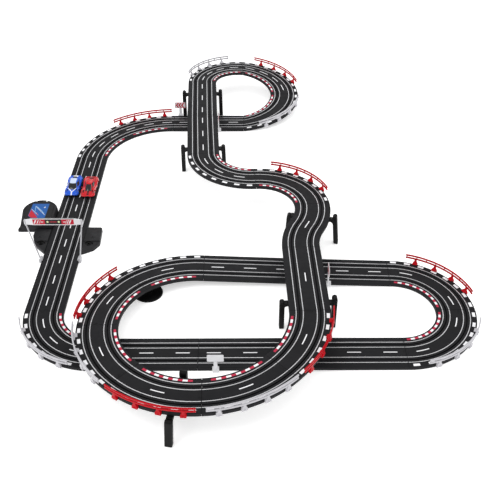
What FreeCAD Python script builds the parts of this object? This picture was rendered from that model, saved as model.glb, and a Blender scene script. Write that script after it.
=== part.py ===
import FreeCAD, Part
import math
import os

V = FreeCAD.Vector
UP = V(0, 0, 1)

# Slot car track set, millimetres, +Z up.
# Origin: on the floor under the middle of the power track, which runs along +Y.
# The circuit is laid in the order the pieces join, against the way the cars race,
# starting at the right-hand end of the bottom straights.

# ---- track pieces ------------------------------------------------------------
DECK_WIDTH = 114.0
DECK_HEIGHT = 10.0
DECK_SKIN = 2.6
SKIRT = 2.4
EDGE_CHAMFER = 0.8
LANE_OFFSET = 28.5
SLOT_WIDTH = 3.4
SLOT_DEPTH = 7.0
SLOT_WALL = 1.4
SLOT_FLOOR = 1.2
RAIL_OFFSET = 9.7
RAIL_WIDTH = 2.2
RAIL_HEIGHT = 1.3
RAIL_PROUD = 0.3
RAIL_PLAY = 0.08
STRAIGHT_LENGTH = 282.0
TIGHT_RADIUS = 171.0
WIDE_RADIUS = 285.0
S_BEND_RADIUS = 228.0
SEAM_GAP = 0.4
TONGUE_HALF_WIDTH = 9.0
TONGUE_REACH = 11.0
TONGUE_TOP = 5.0
TONGUE_BOTTOM = 2.6
BOSS_RADIUS = 7.0

# ---- circuit: each piece is (radius or None for a straight, turn in degrees, left is +)
STRAIGHT = (None, 0.0)
TIGHT_RIGHT = (TIGHT_RADIUS, -90.0)
TIGHT_LEFT = (TIGHT_RADIUS, 90.0)
WIDE_RIGHT = (WIDE_RADIUS, -45.0)
BEND_RIGHT = (S_BEND_RADIUS, -30.0)
BEND_LEFT = (S_BEND_RADIUS, 30.0)
SECTIONS = (
    ("track_bottom_straights", [STRAIGHT] * 3),
    ("track_corner_left", [TIGHT_RIGHT]),
    ("track_left_straight", [STRAIGHT]),
    ("track_power_piece", [STRAIGHT]),
    ("track_grid_straight", [STRAIGHT]),
    ("track_top_left_curves", [WIDE_RIGHT] * 2),
    ("track_underpass_straight", [STRAIGHT]),
    ("track_top_loop_curves", [TIGHT_LEFT] * 3),
    ("track_bridge_straights", [STRAIGHT] * 2),
    ("track_left_turn", [TIGHT_LEFT]),
    ("track_right_turn", [TIGHT_RIGHT]),
    ("track_s_bend", [BEND_RIGHT, BEND_LEFT]),
    ("track_elevated_straight", [STRAIGHT]),
    ("track_big_loop_curves", [WIDE_RIGHT] * 6),
    ("track_middle_straights", [STRAIGHT] * 2),
    ("track_right_loop_curves", [TIGHT_RIGHT] * 2),
)
POWER_PIECE = 5
# Height of the deck's feet at each raised joint (the joint before the piece of that number).
BRIDGE_LEVEL = 92.0
JOINT_LEVEL = {11: 42.0, 12: 82.0, 13: 100.0, 14: 96.0, 15: BRIDGE_LEVEL, 16: BRIDGE_LEVEL,
               17: BRIDGE_LEVEL, 18: BRIDGE_LEVEL, 19: BRIDGE_LEVEL, 20: BRIDGE_LEVEL,
               21: 85.0, 22: 77.0, 23: 67.0, 24: 55.0, 25: 40.0, 26: 22.0, 27: 8.0}
# Turn in degrees that the play in a run of joints takes up, as (first, last, turn of each).
JOINT_PLAY = ((9, 13, 0.7), (14, 16, 0.7), (17, 19, -1.0), (20, 20, -1.4), (21, 23, 0.8), (24, 27, -0.75))
RIGID_JOINTS = (POWER_PIECE, POWER_PIECE + 1)

# ---- supports ----------------------------------------------------------------
POST_OFFSET = 73.0
POST_DEPTH = 14.5
POST_WIDTH = 20.0
POST_EASE = 4.0
REST_GAP = 0.1
CROSSBAR_HEIGHT = 8.0
CROSSBAR_WIDTH = 17.0
GUSSET = 9.0
# Each support: piece, distance along, then for its right and left posts the rise above the
# deck's feet and how much further out the foot stands than the head.
SUPPORTS = ((13, 82.0, (11.0, 1.0), (12.0, 1.0)), (14, 227.0, (12.0, 1.0), (8.0, 2.0)),
            (17, 59.0, (0.0, 5.0), (14.0, 9.0)), (19, 237.0, (5.0, 0.0), (17.0, 0.0)),
            (22, 63.0, (17.0, 0.0), (0.0, 14.0)))
PILLAR_PLACE = (25, 30.0, -23.0)
PILLAR_FOOT_RADIUS = 43.5
PILLAR_FOOT_HEIGHT = 5.0
PILLAR_FOOT_TAPER = 3.0
PILLAR_COLUMN_RADIUS = 9.0
PILLAR_COLLAR = 4.0
PILLAR_HEAD_RADIUS = 15.0
PILLAR_HEAD_HEIGHT = 3.0

# ---- crash fences ------------------------------------------------------------
FENCE_OFFSET = 62.5
FENCE_BAR = 3.6
FENCE_BAR_TALL = 5.6
FENCE_LOW = 22.5
FENCE_HIGH = 31.8
FENCE_RUNG_WIDTH = 1.8
FENCE_RUNGS = 9
FENCE_FEET = 4
FENCE_CLIP_WIDTH = 16.0
FENCE_STEM_WIDTH = 7.0
FENCE_STEPS = 12
RED_FENCE_PIECES = (8, 11, 16, 20, 22, 24, 28)
WHITE_FENCE_PIECES = (3, 10, 12, 21, 23, 29)

# ---- start gantry and signs --------------------------------------------------
GANTRY_PIECE = 4
GANTRY_ALONG = 240.0
GANTRY_TOP_OFFSET = 84.0
BANNER_BOTTOM = 143.0
BANNER_HEIGHT = 23.0
BANNER_HALF_WIDTH = 88.5
BANNER_THICKNESS = 2.4
POLE_RADIUS = 2.0
POLE_OFFSET = 62.0
POLE_FOOT = 12.0
CLIP_LENGTH = 18.0
SIGN_POLE_RADIUS = 3.6
SIGN_HALF_WIDTH = 22.0
SIGN_THICKNESS = 1.8
# Each sign: piece, distance along, side (+1 left), faces across the track?, bottom, top.
SIGNS = ((1, 233.0, 1, True, 40.0, 64.0), (9, 24.0, 1, True, 42.0, 67.0),
         (9, 183.0, -1, False, 52.0, 76.0), (27, 92.0, -1, False, 52.0, 76.0))

# ---- power console -----------------------------------------------------------
DOME_CENTRE = (-115.5, 66.0)
DOME_RADIUS = 60.0
DOME_FRONT_LEFT = -163.0
CONSOLE_FRONT = -26.0
CONSOLE_HEIGHT = 28.0
WING_HEIGHT = 14.0
WALL = 2.0
SIDE_GAP = 0.3
CONSOLE_FILLET = 5.0
# Outer plan corners of each wing, beyond the one beside the track.
LEFT_WING = ((-112.0, -64.0), (-98.0, -107.0))
LEFT_WING_TIP = -149.0
RIGHT_WING_START = -17.0
RIGHT_WING = ((107.0, -17.0), (111.0, -100.0), (94.0, -129.0))
RIGHT_WING_TIP = -150.0
SOCKET_PLACES = ((-78.0, -104.0), (76.0, -106.0))
SOCKET_RADIUS = 4.0
SOCKET_WALL = 3.0
SOCKET_BASE = 4.6
LAMP_PLACES = ((-135.0, 114.0), (-100.5, 112.5))
LAMP_RADIUS = 3.0
LABEL_CORNERS = ((-144.0, 97.0), (-88.0, 97.0), (-88.0, 14.0), (-132.0, 14.0), (-146.0, 26.0))
LABEL_THICKNESS = 0.4
BOARD_CORNERS = ((-160.0, 0.0), (-66.0, 0.0), (-66.0, 70.0), (-160.0, 70.0))
BOARD_BASE = 3.0
BOARD_THICKNESS = 1.6
JACK_CORNERS = ((-150.0, -20.0), (-138.0, -20.0), (-138.0, -6.0), (-150.0, -6.0))
JACK_TOP = 14.0
JACK_BORE = 2.75

# ---- cars --------------------------------------------------------------------
CAR_WIDTH = 50.0
WHEELBASE = 62.0
FRONT_AXLE = 32.0
REAR_AXLE = FRONT_AXLE - WHEELBASE
WHEEL_RADIUS = 9.0
TYRE_WIDTH = 8.0
HUB_RADIUS = 5.8
WHEEL_TRACK = 19.0
AXLE_RADIUS = 1.0
AXLE_PLAY = 0.05
PINION_TEETH = 9
CROWN_TEETH = 27
GEAR_MODULE = 0.5
SHELL_WALL = 1.3
SHOULDER = 4.0
# Body sections: forward, half width, bonnet height, sill height.
BODY_STATIONS = ((-53.5, 22.0, 19.0, 9.0), (-46.0, 24.7, 22.0, 5.0), (-20.0, 25.0, 21.5, 4.0),
                 (18.0, 24.0, 19.5, 4.0), (42.0, 23.5, 16.0, 4.5), (54.0, 19.5, 10.5, 6.0))
# Cabin corners: back and front at the belt and at the roof, half width at each.
CABIN_BELT = (-36.0, 24.0, 19.0)
CABIN_ROOF = (-24.0, 6.0, 14.5)
CABIN_LOW = 18.0
CABIN_TOP = 30.5
# Window openings: across, forward and height spans.
WINDOWS = (((-12.5, 12.5), (6.5, 30.0), (20.8, 28.6)), ((-11.5, 11.5), (-40.0, -25.0), (22.6, 28.2)),
           ((-30.0, 30.0), (-22.0, 4.0), (22.6, 28.0)))
GLASS_FIT = 0.1
GLASS_THICKNESS = 1.0
GLASS_LOW = 21.5
PAN_SPAN = (2.6, 4.6)
PAN_HALF_WIDTH = 13.0
PAN_HALF_LENGTH = 46.0
LUG_SPAN = (9.5, 12.5)
LUG_PLACES = (-10.0, 10.0)
LUG_REACH = 22.0
LUG_HALF = 3.0
GUIDE_PIVOT = 42.0
GUIDE_BLADE = 2.4
GUIDE_POST_RADIUS = 2.0
BRAID_WIDTH = 2.4
GEAR_HALF_TOOTH = 0.22
SHAFT_RADIUS = 0.5
MOTOR_SPAN = (REAR_AXLE + 9.5, REAR_AXLE + 26.5)
MOTOR_RADIUS = 7.0
MOTOR_LOW = 4.7
MOTOR_HALF_HEIGHT = 4.3
# Each car: name, x of its lane, y of its middle. Both face -Y.
CARS = (("car_blue", -LANE_OFFSET, 218.0), ("car_red", LANE_OFFSET, 211.0))


# ============================================================== circuit layout
def circuit_pieces():
    """The (radius, turn) of every piece, in joining order."""
    return [piece for _, pieces in SECTIONS for piece in pieces]


def step(pose, piece):
    """Pose (x, y, heading in radians) at the far end of a piece."""
    x, y, heading = pose
    radius, turn = piece
    if radius is None:
        dx = STRAIGHT_LENGTH * math.cos(heading)
        dy = STRAIGHT_LENGTH * math.sin(heading)
        return x + dx, y + dy, heading
    side = math.copysign(radius, turn)
    after = heading + math.radians(turn)
    dx = side * (math.sin(after) - math.sin(heading))
    dy = side * (math.cos(heading) - math.cos(after))
    return x + dx, y + dy, after


def joint_poses(start, bends):
    """Pose at the start of every piece and at the circuit's end, with a bend before each."""
    poses = []
    pose = start
    for piece, bend in zip(circuit_pieces(), bends):
        pose = (pose[0], pose[1], pose[2] + bend)
        poses.append(pose)
        pose = step(pose, piece)
    return poses + [pose]


def closing_error(poses):
    """What is missing for the circuit's end to meet its start: x, y and heading."""
    end = poses[-1]
    spare = (end[2] + math.pi) % (2 * math.pi) - math.pi
    return V(-end[0], -end[1], -spare)


def joint_bends():
    """Bend of each joint in radians: its play, plus the smallest bends that close the loop."""
    bends = [0.0] * len(circuit_pieces())
    for first, last, turn in JOINT_PLAY:
        for index in range(first, last + 1):
            bends[index] = math.radians(turn)
    free = [index for index in range(len(bends)) if index not in RIGID_JOINTS]
    for _ in range(5):
        poses = joint_poses((0.0, 0.0, 0.0), bends)
        end = poses[-1]
        levers = [V(poses[i][1] - end[1], end[0] - poses[i][0], 1.0) for i in free]
        cells = [[sum(a[r] * a[c] for a in levers) for c in range(3)] for r in range(3)]
        normal = FreeCAD.Matrix(*cells[0], 0, *cells[1], 0, *cells[2], 0, 0, 0, 0, 1)
        pull = normal.inverse().multVec(closing_error(poses))
        for index, lever in zip(free, levers):
            bends[index] += lever.dot(pull)
    return bends


def laid_poses(bends):
    """Joint poses with the power track's middle at the origin, running along +Y."""
    x, y, heading = joint_poses((0.0, 0.0, 0.0), bends)[POWER_PIECE]
    turn = math.pi / 2 - heading
    start_x = -(x * math.cos(turn) - y * math.sin(turn))
    start_y = -(x * math.sin(turn) + y * math.cos(turn)) - STRAIGHT_LENGTH / 2
    return joint_poses((start_x, start_y, turn), bends)


class TrackPiece:
    """One laid piece: gives points from distance along, offset to the left and height."""

    def __init__(self, index, pose, shape, bend_before, bend_after):
        self.x, self.y, self.heading = pose
        self.radius, self.turn = shape
        self.curved = self.radius is not None
        self.length = STRAIGHT_LENGTH
        if self.curved:
            self.length = self.radius * math.radians(abs(self.turn))
        self.low = JOINT_LEVEL.get(index, 0.0)
        self.rise = JOINT_LEVEL.get(index + 1, 0.0) - self.low
        self.start = (SEAM_GAP + DECK_WIDTH / 2 * abs(bend_before)) / 2
        self.end = self.length - (SEAM_GAP + DECK_WIDTH / 2 * abs(bend_after)) / 2

    def heading_at(self, along):
        if not self.curved:
            return self.heading
        return self.heading + math.copysign(along / self.radius, self.turn)

    def point(self, along, offset, height):
        """Point in space; height is above the deck's feet."""
        z = self.low + self.rise * along / self.length + height
        heading = self.heading_at(along)
        if not self.curved:
            x = self.x + along * math.cos(heading)
            y = self.y + along * math.sin(heading)
        else:
            side = math.copysign(self.radius, self.turn)
            x = self.x + side * (math.sin(heading) - math.sin(self.heading))
            y = self.y + side * (math.cos(self.heading) - math.cos(heading))
        return V(x - offset * math.sin(heading), y + offset * math.cos(heading), z)

    def pivot(self):
        """Centre of the curve, at floor level."""
        side = math.copysign(self.radius, self.turn)
        return V(self.x - side * math.sin(self.heading), self.y + side * math.cos(self.heading), 0)

    def section(self, along, outline):
        """Closed wire across the track at a distance along, from (offset, height) pairs."""
        points = [self.point(along, offset, height) for offset, height in outline]
        return Part.makePolygon(points + points[:1])


def laid_pieces():
    bends = joint_bends()
    poses = laid_poses(bends)
    pieces = []
    for i, shape in enumerate(circuit_pieces()):
        pieces.append(TrackPiece(i, poses[i], shape, bends[i], bends[(i + 1) % len(bends)]))
    return pieces


# ============================================================== swept solids
def sweep(piece, outline, start, end):
    """Solid with a constant outline across the track, between two distances along it."""
    if piece.curved and piece.rise != 0.0:
        count = 7
        stations = [start + (end - start) * k / (count - 1) for k in range(count)]
        wires = [piece.section(along, outline) for along in stations]
        return Part.makeLoft(wires, True, False)
    face = Part.Face(piece.section(start, outline))
    if piece.curved:
        angle = math.degrees((end - start) / piece.radius)
        return face.revolve(piece.pivot(), UP, math.copysign(angle, piece.turn))
    return face.extrude(piece.point(end, 0, 0) - piece.point(start, 0, 0))


def strip(piece, outline, start, end, steps):
    """Like sweep, in short flat facets, for slender parts that other solids join."""
    stations = [start + (end - start) * k / steps for k in range(steps + 1)]
    wires = [piece.section(along, outline) for along in stations]
    return Part.makeLoft(wires, True, True)


def slab(piece, outline, along, width, offset):
    """Flat-sided solid following the deck's slope; width is measured at the given offset."""
    half = width / 2 * piece.radius / (piece.radius + abs(offset))
    face = Part.Face(piece.section(along - half, outline))
    return face.extrude(piece.point(along + half, offset, 0) - piece.point(along - half, offset, 0))


def fused(solids):
    """One solid from touching solids."""
    return solids[0].multiFuse(solids[1:]).removeSplitter()


def write(name, solids):
    """Save a sub-part as a STEP file."""
    shape = solids[0] if len(solids) == 1 else Part.makeCompound(solids)
    shape.exportStep(os.path.join("parts", name + ".step"))


# ============================================================== decks and rails
def notch(centre, width, depth):
    """Outline points of a square notch in the deck's top."""
    left = centre - width / 2
    right = centre + width / 2
    floor = DECK_HEIGHT - depth
    return [(left, DECK_HEIGHT), (left, floor), (right, floor), (right, DECK_HEIGHT)]


def deck_outline():
    """Closed outline across a deck: ribbed skin with skirts, slots and rail grooves."""
    half = DECK_WIDTH / 2
    under = DECK_HEIGHT - DECK_SKIN
    groove_width = RAIL_WIDTH + 2 * RAIL_PLAY
    groove_depth = RAIL_HEIGHT - RAIL_PROUD + RAIL_PLAY
    outline = [(-half, 0), (-half, DECK_HEIGHT - EDGE_CHAMFER), (-half + EDGE_CHAMFER, DECK_HEIGHT)]
    for lane in (-LANE_OFFSET, LANE_OFFSET):
        outline += notch(lane - RAIL_OFFSET, groove_width, groove_depth)
        outline += notch(lane, SLOT_WIDTH, SLOT_DEPTH)
        outline += notch(lane + RAIL_OFFSET, groove_width, groove_depth)
    outline += [(half - EDGE_CHAMFER, DECK_HEIGHT), (half, DECK_HEIGHT - EDGE_CHAMFER), (half, 0)]
    outline += [(half - SKIRT, 0), (half - SKIRT, under)]
    channel = SLOT_WIDTH / 2 + SLOT_WALL
    bottom = DECK_HEIGHT - SLOT_DEPTH - SLOT_FLOOR
    for lane in (LANE_OFFSET, -LANE_OFFSET):
        outline += [(lane + channel, under), (lane + channel, bottom)]
        outline += [(lane - channel, bottom), (lane - channel, under)]
    return outline + [(-half + SKIRT, under), (-half + SKIRT, 0)]


def tongue(piece):
    """Hooked tongue at a piece's far end, which locks under the next piece's skin."""
    end = piece.end
    root = 10.0
    shoulder = DECK_HEIGHT - DECK_SKIN + 0.5
    heading = piece.heading_at(end)
    tangent = V(math.cos(heading), math.sin(heading), 0)
    across = V(-math.sin(heading), math.cos(heading), 0)
    base = piece.point(end, -TONGUE_HALF_WIDTH, 0)
    profile = [(-root, TONGUE_BOTTOM), (TONGUE_REACH, TONGUE_BOTTOM), (TONGUE_REACH, TONGUE_TOP),
               (-SEAM_GAP, TONGUE_TOP), (-SEAM_GAP, shoulder), (-root, shoulder)]
    points = [base + tangent * reach + UP * height for reach, height in profile]
    face = Part.Face(Part.makePolygon(points + points[:1]))
    return face.extrude(across * (2 * TONGUE_HALF_WIDTH))


def boss(piece):
    """Round boss under the middle of a piece, level with its skirts."""
    height = DECK_HEIGHT - DECK_SKIN + 1.0
    return Part.makeCylinder(BOSS_RADIUS, height, piece.point(piece.length / 2, 0, 0))


def deck(piece, outline):
    """One moulded track piece."""
    body = sweep(piece, outline, piece.start, piece.end)
    return body.multiFuse([tongue(piece), boss(piece)])


def rail_outline(centre):
    """Outline of one steel conductor strip in its groove."""
    half = RAIL_WIDTH / 2
    top = DECK_HEIGHT + RAIL_PROUD
    return [(centre - half, top - RAIL_HEIGHT), (centre + half, top - RAIL_HEIGHT),
            (centre + half, top), (centre - half, top)]


def rails(piece):
    """The four conductor strips of one piece."""
    places = [lane + side * RAIL_OFFSET for lane in (-LANE_OFFSET, LANE_OFFSET) for side in (-1, 1)]
    return [sweep(piece, rail_outline(place), piece.start, piece.end) for place in places]


def build_track(pieces):
    outline = deck_outline()
    index = 0
    for name, shapes in SECTIONS:
        members = pieces[index:index + len(shapes)]
        write(name, [deck(piece, outline) for piece in members])
        index += len(shapes)
    floor = [p for p in pieces if p.low == 0.0 and p.rise == 0.0]
    raised = [p for p in pieces if p not in floor]
    write("conductor_rails_floor", [rail for piece in floor for rail in rails(piece)])
    write("conductor_rails_raised", [rail for piece in raised for rail in rails(piece)])


# ============================================================== supports
def post(piece, along, above, splay, side):
    """One support post, from the floor to a height above the deck's feet."""
    level = piece.point(along, 0, 0).z
    inner = POST_OFFSET - POST_DEPTH / 2
    outer = POST_OFFSET + POST_DEPTH / 2
    outline = [(side * (inner + splay), -level), (side * (outer + splay), -level),
               (side * outer, above - POST_EASE), (side * (outer - POST_EASE), above),
               (side * (inner + POST_EASE), above), (side * inner, above - POST_EASE)]
    return level_slab(piece, outline, along, POST_WIDTH)


def level_slab(piece, outline, along, width):
    """Solid across the track at one place, level along it whatever the deck's slope."""
    heading = piece.heading_at(along)
    tangent = V(math.cos(heading), math.sin(heading), 0)
    face = Part.Face(piece.section(along, outline))
    face.translate(tangent * (-width / 2))
    return face.extrude(tangent * width)


def crossbar(piece, along):
    """Bar the deck rests on, with gussets to both posts."""
    slope_drop = abs(piece.rise) / piece.length * CROSSBAR_WIDTH / 2
    top = -REST_GAP - slope_drop
    reach = POST_OFFSET - POST_DEPTH / 2 - REST_GAP
    low = top - CROSSBAR_HEIGHT
    outline = [(-reach, top), (reach, top), (reach, low - GUSSET), (reach - GUSSET, low),
               (GUSSET - reach, low), (-reach, low - GUSSET)]
    return level_slab(piece, outline, along, CROSSBAR_WIDTH)


def build_supports(pieces):
    posts = []
    bars = []
    for index, along, right_post, left_post in SUPPORTS:
        piece = pieces[index]
        posts += [post(piece, along, *right_post, -1), post(piece, along, *left_post, 1)]
        bars.append(crossbar(piece, along))
    write("support_posts", posts)
    write("support_crossbars", bars)
    index, along, offset = PILLAR_PLACE
    place = pieces[index].point(along, offset, 0)
    floor = V(place.x, place.y, 0)
    rim = PILLAR_FOOT_RADIUS - PILLAR_FOOT_TAPER
    foot = Part.makeCone(PILLAR_FOOT_RADIUS, rim, PILLAR_FOOT_HEIGHT, floor)
    collar_base = floor + UP * PILLAR_FOOT_HEIGHT
    collar = Part.makeCylinder(PILLAR_COLUMN_RADIUS + PILLAR_COLLAR, PILLAR_COLLAR, collar_base)
    write("pillar_foot", [foot.fuse(collar).removeSplitter()])
    base = collar_base + UP * (PILLAR_COLLAR + REST_GAP / 2)
    slope = abs(pieces[index].rise) / pieces[index].length
    height = place.z - base.z - slope * 1.3 * PILLAR_HEAD_RADIUS - PILLAR_HEAD_HEIGHT / 2
    column = Part.makeCylinder(PILLAR_COLUMN_RADIUS, height, base)
    head_base = base + UP * (height - PILLAR_HEAD_HEIGHT)
    head = Part.makeCylinder(PILLAR_HEAD_RADIUS, PILLAR_HEAD_HEIGHT, head_base)
    write("pillar_column", [column.fuse(head).removeSplitter()])


# ============================================================== fences
def fence_span(piece):
    """Start and end of the fence along the middle of its curve."""
    if piece.radius == TIGHT_RADIUS:
        return piece.length * 15 / 90, piece.length * 77 / 90
    return piece.length * 2 / 45, piece.length * 43 / 45


def fence_bar(piece, side, height):
    """Curved bar of the fence."""
    inner = side * (FENCE_OFFSET - FENCE_BAR / 2)
    outer = side * (FENCE_OFFSET + FENCE_BAR / 2)
    top = height + FENCE_BAR_TALL
    outline = [(inner, height), (outer, height), (outer, top), (inner, top)]
    start, end = fence_span(piece)
    return strip(piece, outline, start, end, FENCE_STEPS)


def fence_foot(piece, side, along):
    """Clip over the deck's edge and a narrower leaning stem up to the bars."""
    edge = DECK_WIDTH / 2
    gap = 0.35
    clip = [(edge + gap, 1.5), (edge + 7, 1.5), (edge + 8, 6), (edge + 6.5, 13), (edge + 3.5, 17),
            (edge - 3, DECK_HEIGHT + 4.5), (edge - 6, DECK_HEIGHT + 2), (edge - 6, DECK_HEIGHT + gap),
            (edge + gap, DECK_HEIGHT + gap)]
    stem = [(edge + 1, DECK_HEIGHT + 2), (edge + 6, DECK_HEIGHT + 2), (FENCE_OFFSET + 1.2, FENCE_LOW + 1),
            (FENCE_OFFSET - 1.2, FENCE_LOW + 1)]
    solids = []
    for outline, width in ((clip, FENCE_CLIP_WIDTH), (stem, FENCE_STEM_WIDTH)):
        mirrored = [(side * offset, height) for offset, height in outline]
        solids.append(slab(piece, mirrored, along, width, side * edge))
    return solids


def fence(piece):
    """One crash fence, clipped to the outside of a curve."""
    side = -math.copysign(1, piece.turn)
    start, end = fence_span(piece)
    solids = [fence_bar(piece, side, FENCE_LOW), fence_bar(piece, side, FENCE_HIGH)]
    half = FENCE_RUNG_WIDTH / 2
    rung = [(side * (FENCE_OFFSET - half), FENCE_LOW + 1), (side * (FENCE_OFFSET + half), FENCE_LOW + 1),
            (side * (FENCE_OFFSET + half), FENCE_HIGH + 1), (side * (FENCE_OFFSET - half), FENCE_HIGH + 1)]
    for k in range(FENCE_RUNGS):
        along = start + 3 + (end - start - 6) * k / (FENCE_RUNGS - 1)
        solids.append(slab(piece, rung, along, FENCE_RUNG_WIDTH, side * FENCE_OFFSET))
    for k in range(FENCE_FEET):
        along = start + (end - start) * (k + 0.5) / FENCE_FEET
        solids += fence_foot(piece, side, along)
    return fused(solids)


def build_fences(pieces):
    write("fences_red", [fence(pieces[i]) for i in RED_FENCE_PIECES])
    write("fences_white", [fence(pieces[i]) for i in WHITE_FENCE_PIECES])


# ============================================================== gantry and signs
def edge_clip(piece, along, side):
    """Foot that clips over the deck's edge and holds a pole."""
    edge = DECK_WIDTH / 2
    gap = 0.3
    outline = [(edge + gap, 1), (edge + 9, 1), (edge + 9, 12), (edge + 5, 18),
               (edge + 1, 18), (edge - 3, DECK_HEIGHT + 2.5), (edge - 3, DECK_HEIGHT + gap),
               (edge + gap, DECK_HEIGHT + gap)]
    outline = [(side * offset, height) for offset, height in outline]
    return sweep(piece, outline, along - CLIP_LENGTH / 2, along + CLIP_LENGTH / 2)


def pole(radius, bottom, top):
    """Round rod between two points."""
    return Part.makeCylinder(radius, (top - bottom).Length, bottom, top - bottom)


def clip_and_pole(piece, along, side, top, radius):
    """A clip with a pole standing in it, up to the given point."""
    foot = piece.point(along, side * POLE_OFFSET, POLE_FOOT)
    lean = top - foot
    clip = edge_clip(piece, along, side).cut(pole(radius + 0.05, foot, top))
    return clip, pole(radius, foot + lean * 0.001, top)


def build_gantry(piece):
    """Clips, poles and banner over the starting straight; returns the clips and poles."""
    pairs = []
    for side in (-1, 1):
        top = piece.point(GANTRY_ALONG, side * GANTRY_TOP_OFFSET, BANNER_BOTTOM - 0.6)
        pairs.append(clip_and_pole(piece, GANTRY_ALONG, side, top, POLE_RADIUS))
    half = BANNER_HALF_WIDTH
    high = BANNER_BOTTOM + BANNER_HEIGHT
    outline = [(-half, BANNER_BOTTOM), (half, BANNER_BOTTOM), (half, high), (-half, high)]
    write("gantry_banner", [level_slab(piece, outline, GANTRY_ALONG, BANNER_THICKNESS)])
    return pairs


def sign_board(piece, along, side, across, bottom, top):
    """Flat board, either parallel to the track or square across its edge."""
    centre = POLE_OFFSET
    if across:
        half = SIGN_THICKNESS / 2
        width = 2 * SIGN_HALF_WIDTH
    else:
        half = SIGN_HALF_WIDTH
        width = SIGN_THICKNESS
    outline = [(side * (centre - half), bottom), (side * (centre + half), bottom),
               (side * (centre + half), top), (side * (centre - half), top)]
    return level_slab(piece, outline, along, width)


def build_signs(pieces):
    """Sign boards beside the track; returns their clips and poles."""
    boards = []
    pairs = []
    for index, along, side, across, bottom, top in SIGNS:
        piece = pieces[index]
        boards.append(sign_board(piece, along, side, across, bottom, top))
        head = piece.point(along, side * POLE_OFFSET, bottom - 0.02)
        pairs.append(clip_and_pole(piece, along, side, head, SIGN_POLE_RADIUS))
    write("sign_boards", boards)
    return pairs


def build_furniture(pieces):
    pairs = build_gantry(pieces[GANTRY_PIECE]) + build_signs(pieces)
    write("edge_clips", [clip for clip, _ in pairs])
    write("edge_poles", [rod for _, rod in pairs])


# ============================================================== power console
def prism(points, bottom, top):
    """Upright solid from plan corners."""
    corners = [V(x, y, bottom) for x, y in points]
    return Part.Face(Part.makePolygon(corners + corners[:1])).extrude(UP * (top - bottom))


def dome_plan(shrink):
    """Plan face of the tall console: round back, straight sides and front."""
    x, y = DOME_CENTRE
    radius = DOME_RADIUS - shrink
    right = -DECK_WIDTH / 2 - SIDE_GAP - shrink
    half_arc = math.asin((right - x) / radius)
    top = V(x + radius * math.sin(half_arc), y + radius * math.cos(half_arc), 0)
    middle = V(x - radius * math.sin(math.radians(30)), y + radius * math.cos(math.radians(30)), 0)
    arc = Part.Arc(top, middle, V(x - radius, y, 0)).toShape()
    front = CONSOLE_FRONT + shrink
    corners = [V(x - radius, y, 0), V(DOME_FRONT_LEFT + shrink, front, 0), V(right, front, 0), top]
    edges = [arc] + [Part.makeLine(a, b) for a, b in zip(corners, corners[1:])]
    return Part.Face(Part.Wire(edges))


def hollow(outer, inner_plan, top, wall):
    """Cover open at the bottom."""
    return outer.cut(inner_plan.extrude(UP * (top - wall)))


def wing_plan(shrink):
    """Plan corners of the low wing that carries the left controller socket."""
    right = -DECK_WIDTH / 2 - SIDE_GAP - shrink
    back = CONSOLE_FRONT - SIDE_GAP - shrink
    corners = [(x + shrink, y) for x, y in LEFT_WING]
    return [(right, back), (corners[0][0], back)] + corners + [(right, LEFT_WING_TIP + 2 * shrink)]


def right_plan(shrink):
    """Plan corners of the low wing on the other side of the power track."""
    left = DECK_WIDTH / 2 + SIDE_GAP + shrink
    back, side, low = RIGHT_WING
    return [(left, RIGHT_WING_START - shrink), (back[0] - shrink, back[1] - shrink),
            (side[0] - shrink, side[1] + shrink / 2), (low[0] - shrink / 2, low[1] + shrink),
            (left, RIGHT_WING_TIP + shrink)]


def low_cover(plan, socket_x, socket_y):
    """Low hollow cover with a dished socket opening in its top."""
    cover = prism(plan(0), 0, WING_HEIGHT).cut(prism(plan(WALL), -1, WING_HEIGHT - WALL))
    place = V(socket_x, socket_y, WING_HEIGHT - 1.5 * WALL)
    opening = Part.makeCylinder(SOCKET_RADIUS + SOCKET_WALL + 0.5, 2 * WALL, place)
    return cover.cut(opening)


def socket(x, y):
    """Controller socket: a tube with a bore for the plug, standing on its board."""
    base = V(x, y, SOCKET_BASE)
    tube = Part.makeCylinder(SOCKET_RADIUS + SOCKET_WALL, WING_HEIGHT - SOCKET_BASE - 0.4, base)
    return tube.cut(Part.makeCylinder(SOCKET_RADIUS, WING_HEIGHT, base + UP * WALL))


def build_console():
    outer = dome_plan(0).extrude(UP * CONSOLE_HEIGHT)
    edges = [e for e in outer.Edges if e.BoundBox.ZMin > CONSOLE_HEIGHT - 0.01]
    outer = outer.makeFillet(CONSOLE_FILLET, edges)
    cover = hollow(outer, dome_plan(WALL), CONSOLE_HEIGHT, WALL)
    lamps = []
    for x, y in LAMP_PLACES:
        place = V(x, y, CONSOLE_HEIGHT - 2 * WALL)
        cover = cover.cut(Part.makeCylinder(LAMP_RADIUS + 0.05, 4 * WALL, place))
        lamps.append(Part.makeCylinder(LAMP_RADIUS, 2 * WALL + 0.8, place))
    write("console_cover", [cover])
    write("console_lamps", lamps)
    write("console_label", [prism(LABEL_CORNERS, CONSOLE_HEIGHT + 0.02, CONSOLE_HEIGHT + LABEL_THICKNESS)])
    write("control_board", [prism(BOARD_CORNERS, BOARD_BASE, BOARD_BASE + BOARD_THICKNESS)])
    left, right = SOCKET_PLACES
    write("socket_cover_left", [low_cover(wing_plan, *left)])
    write("socket_cover_right", [low_cover(right_plan, *right)])
    write("controller_sockets", [socket(*left), socket(*right)])
    write("power_jack", [power_jack()])


def power_jack():
    """Low-voltage inlet: a block with a blind bore facing the console's front."""
    jack = prism(JACK_CORNERS, BOARD_BASE, JACK_TOP)
    middle = (JACK_CORNERS[0][0] + JACK_CORNERS[1][0]) / 2
    place = V(middle, JACK_CORNERS[0][1], (BOARD_BASE + JACK_TOP) / 2)
    return jack.cut(Part.makeCylinder(JACK_BORE, 11, place, V(0, 1, 0)))


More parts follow.
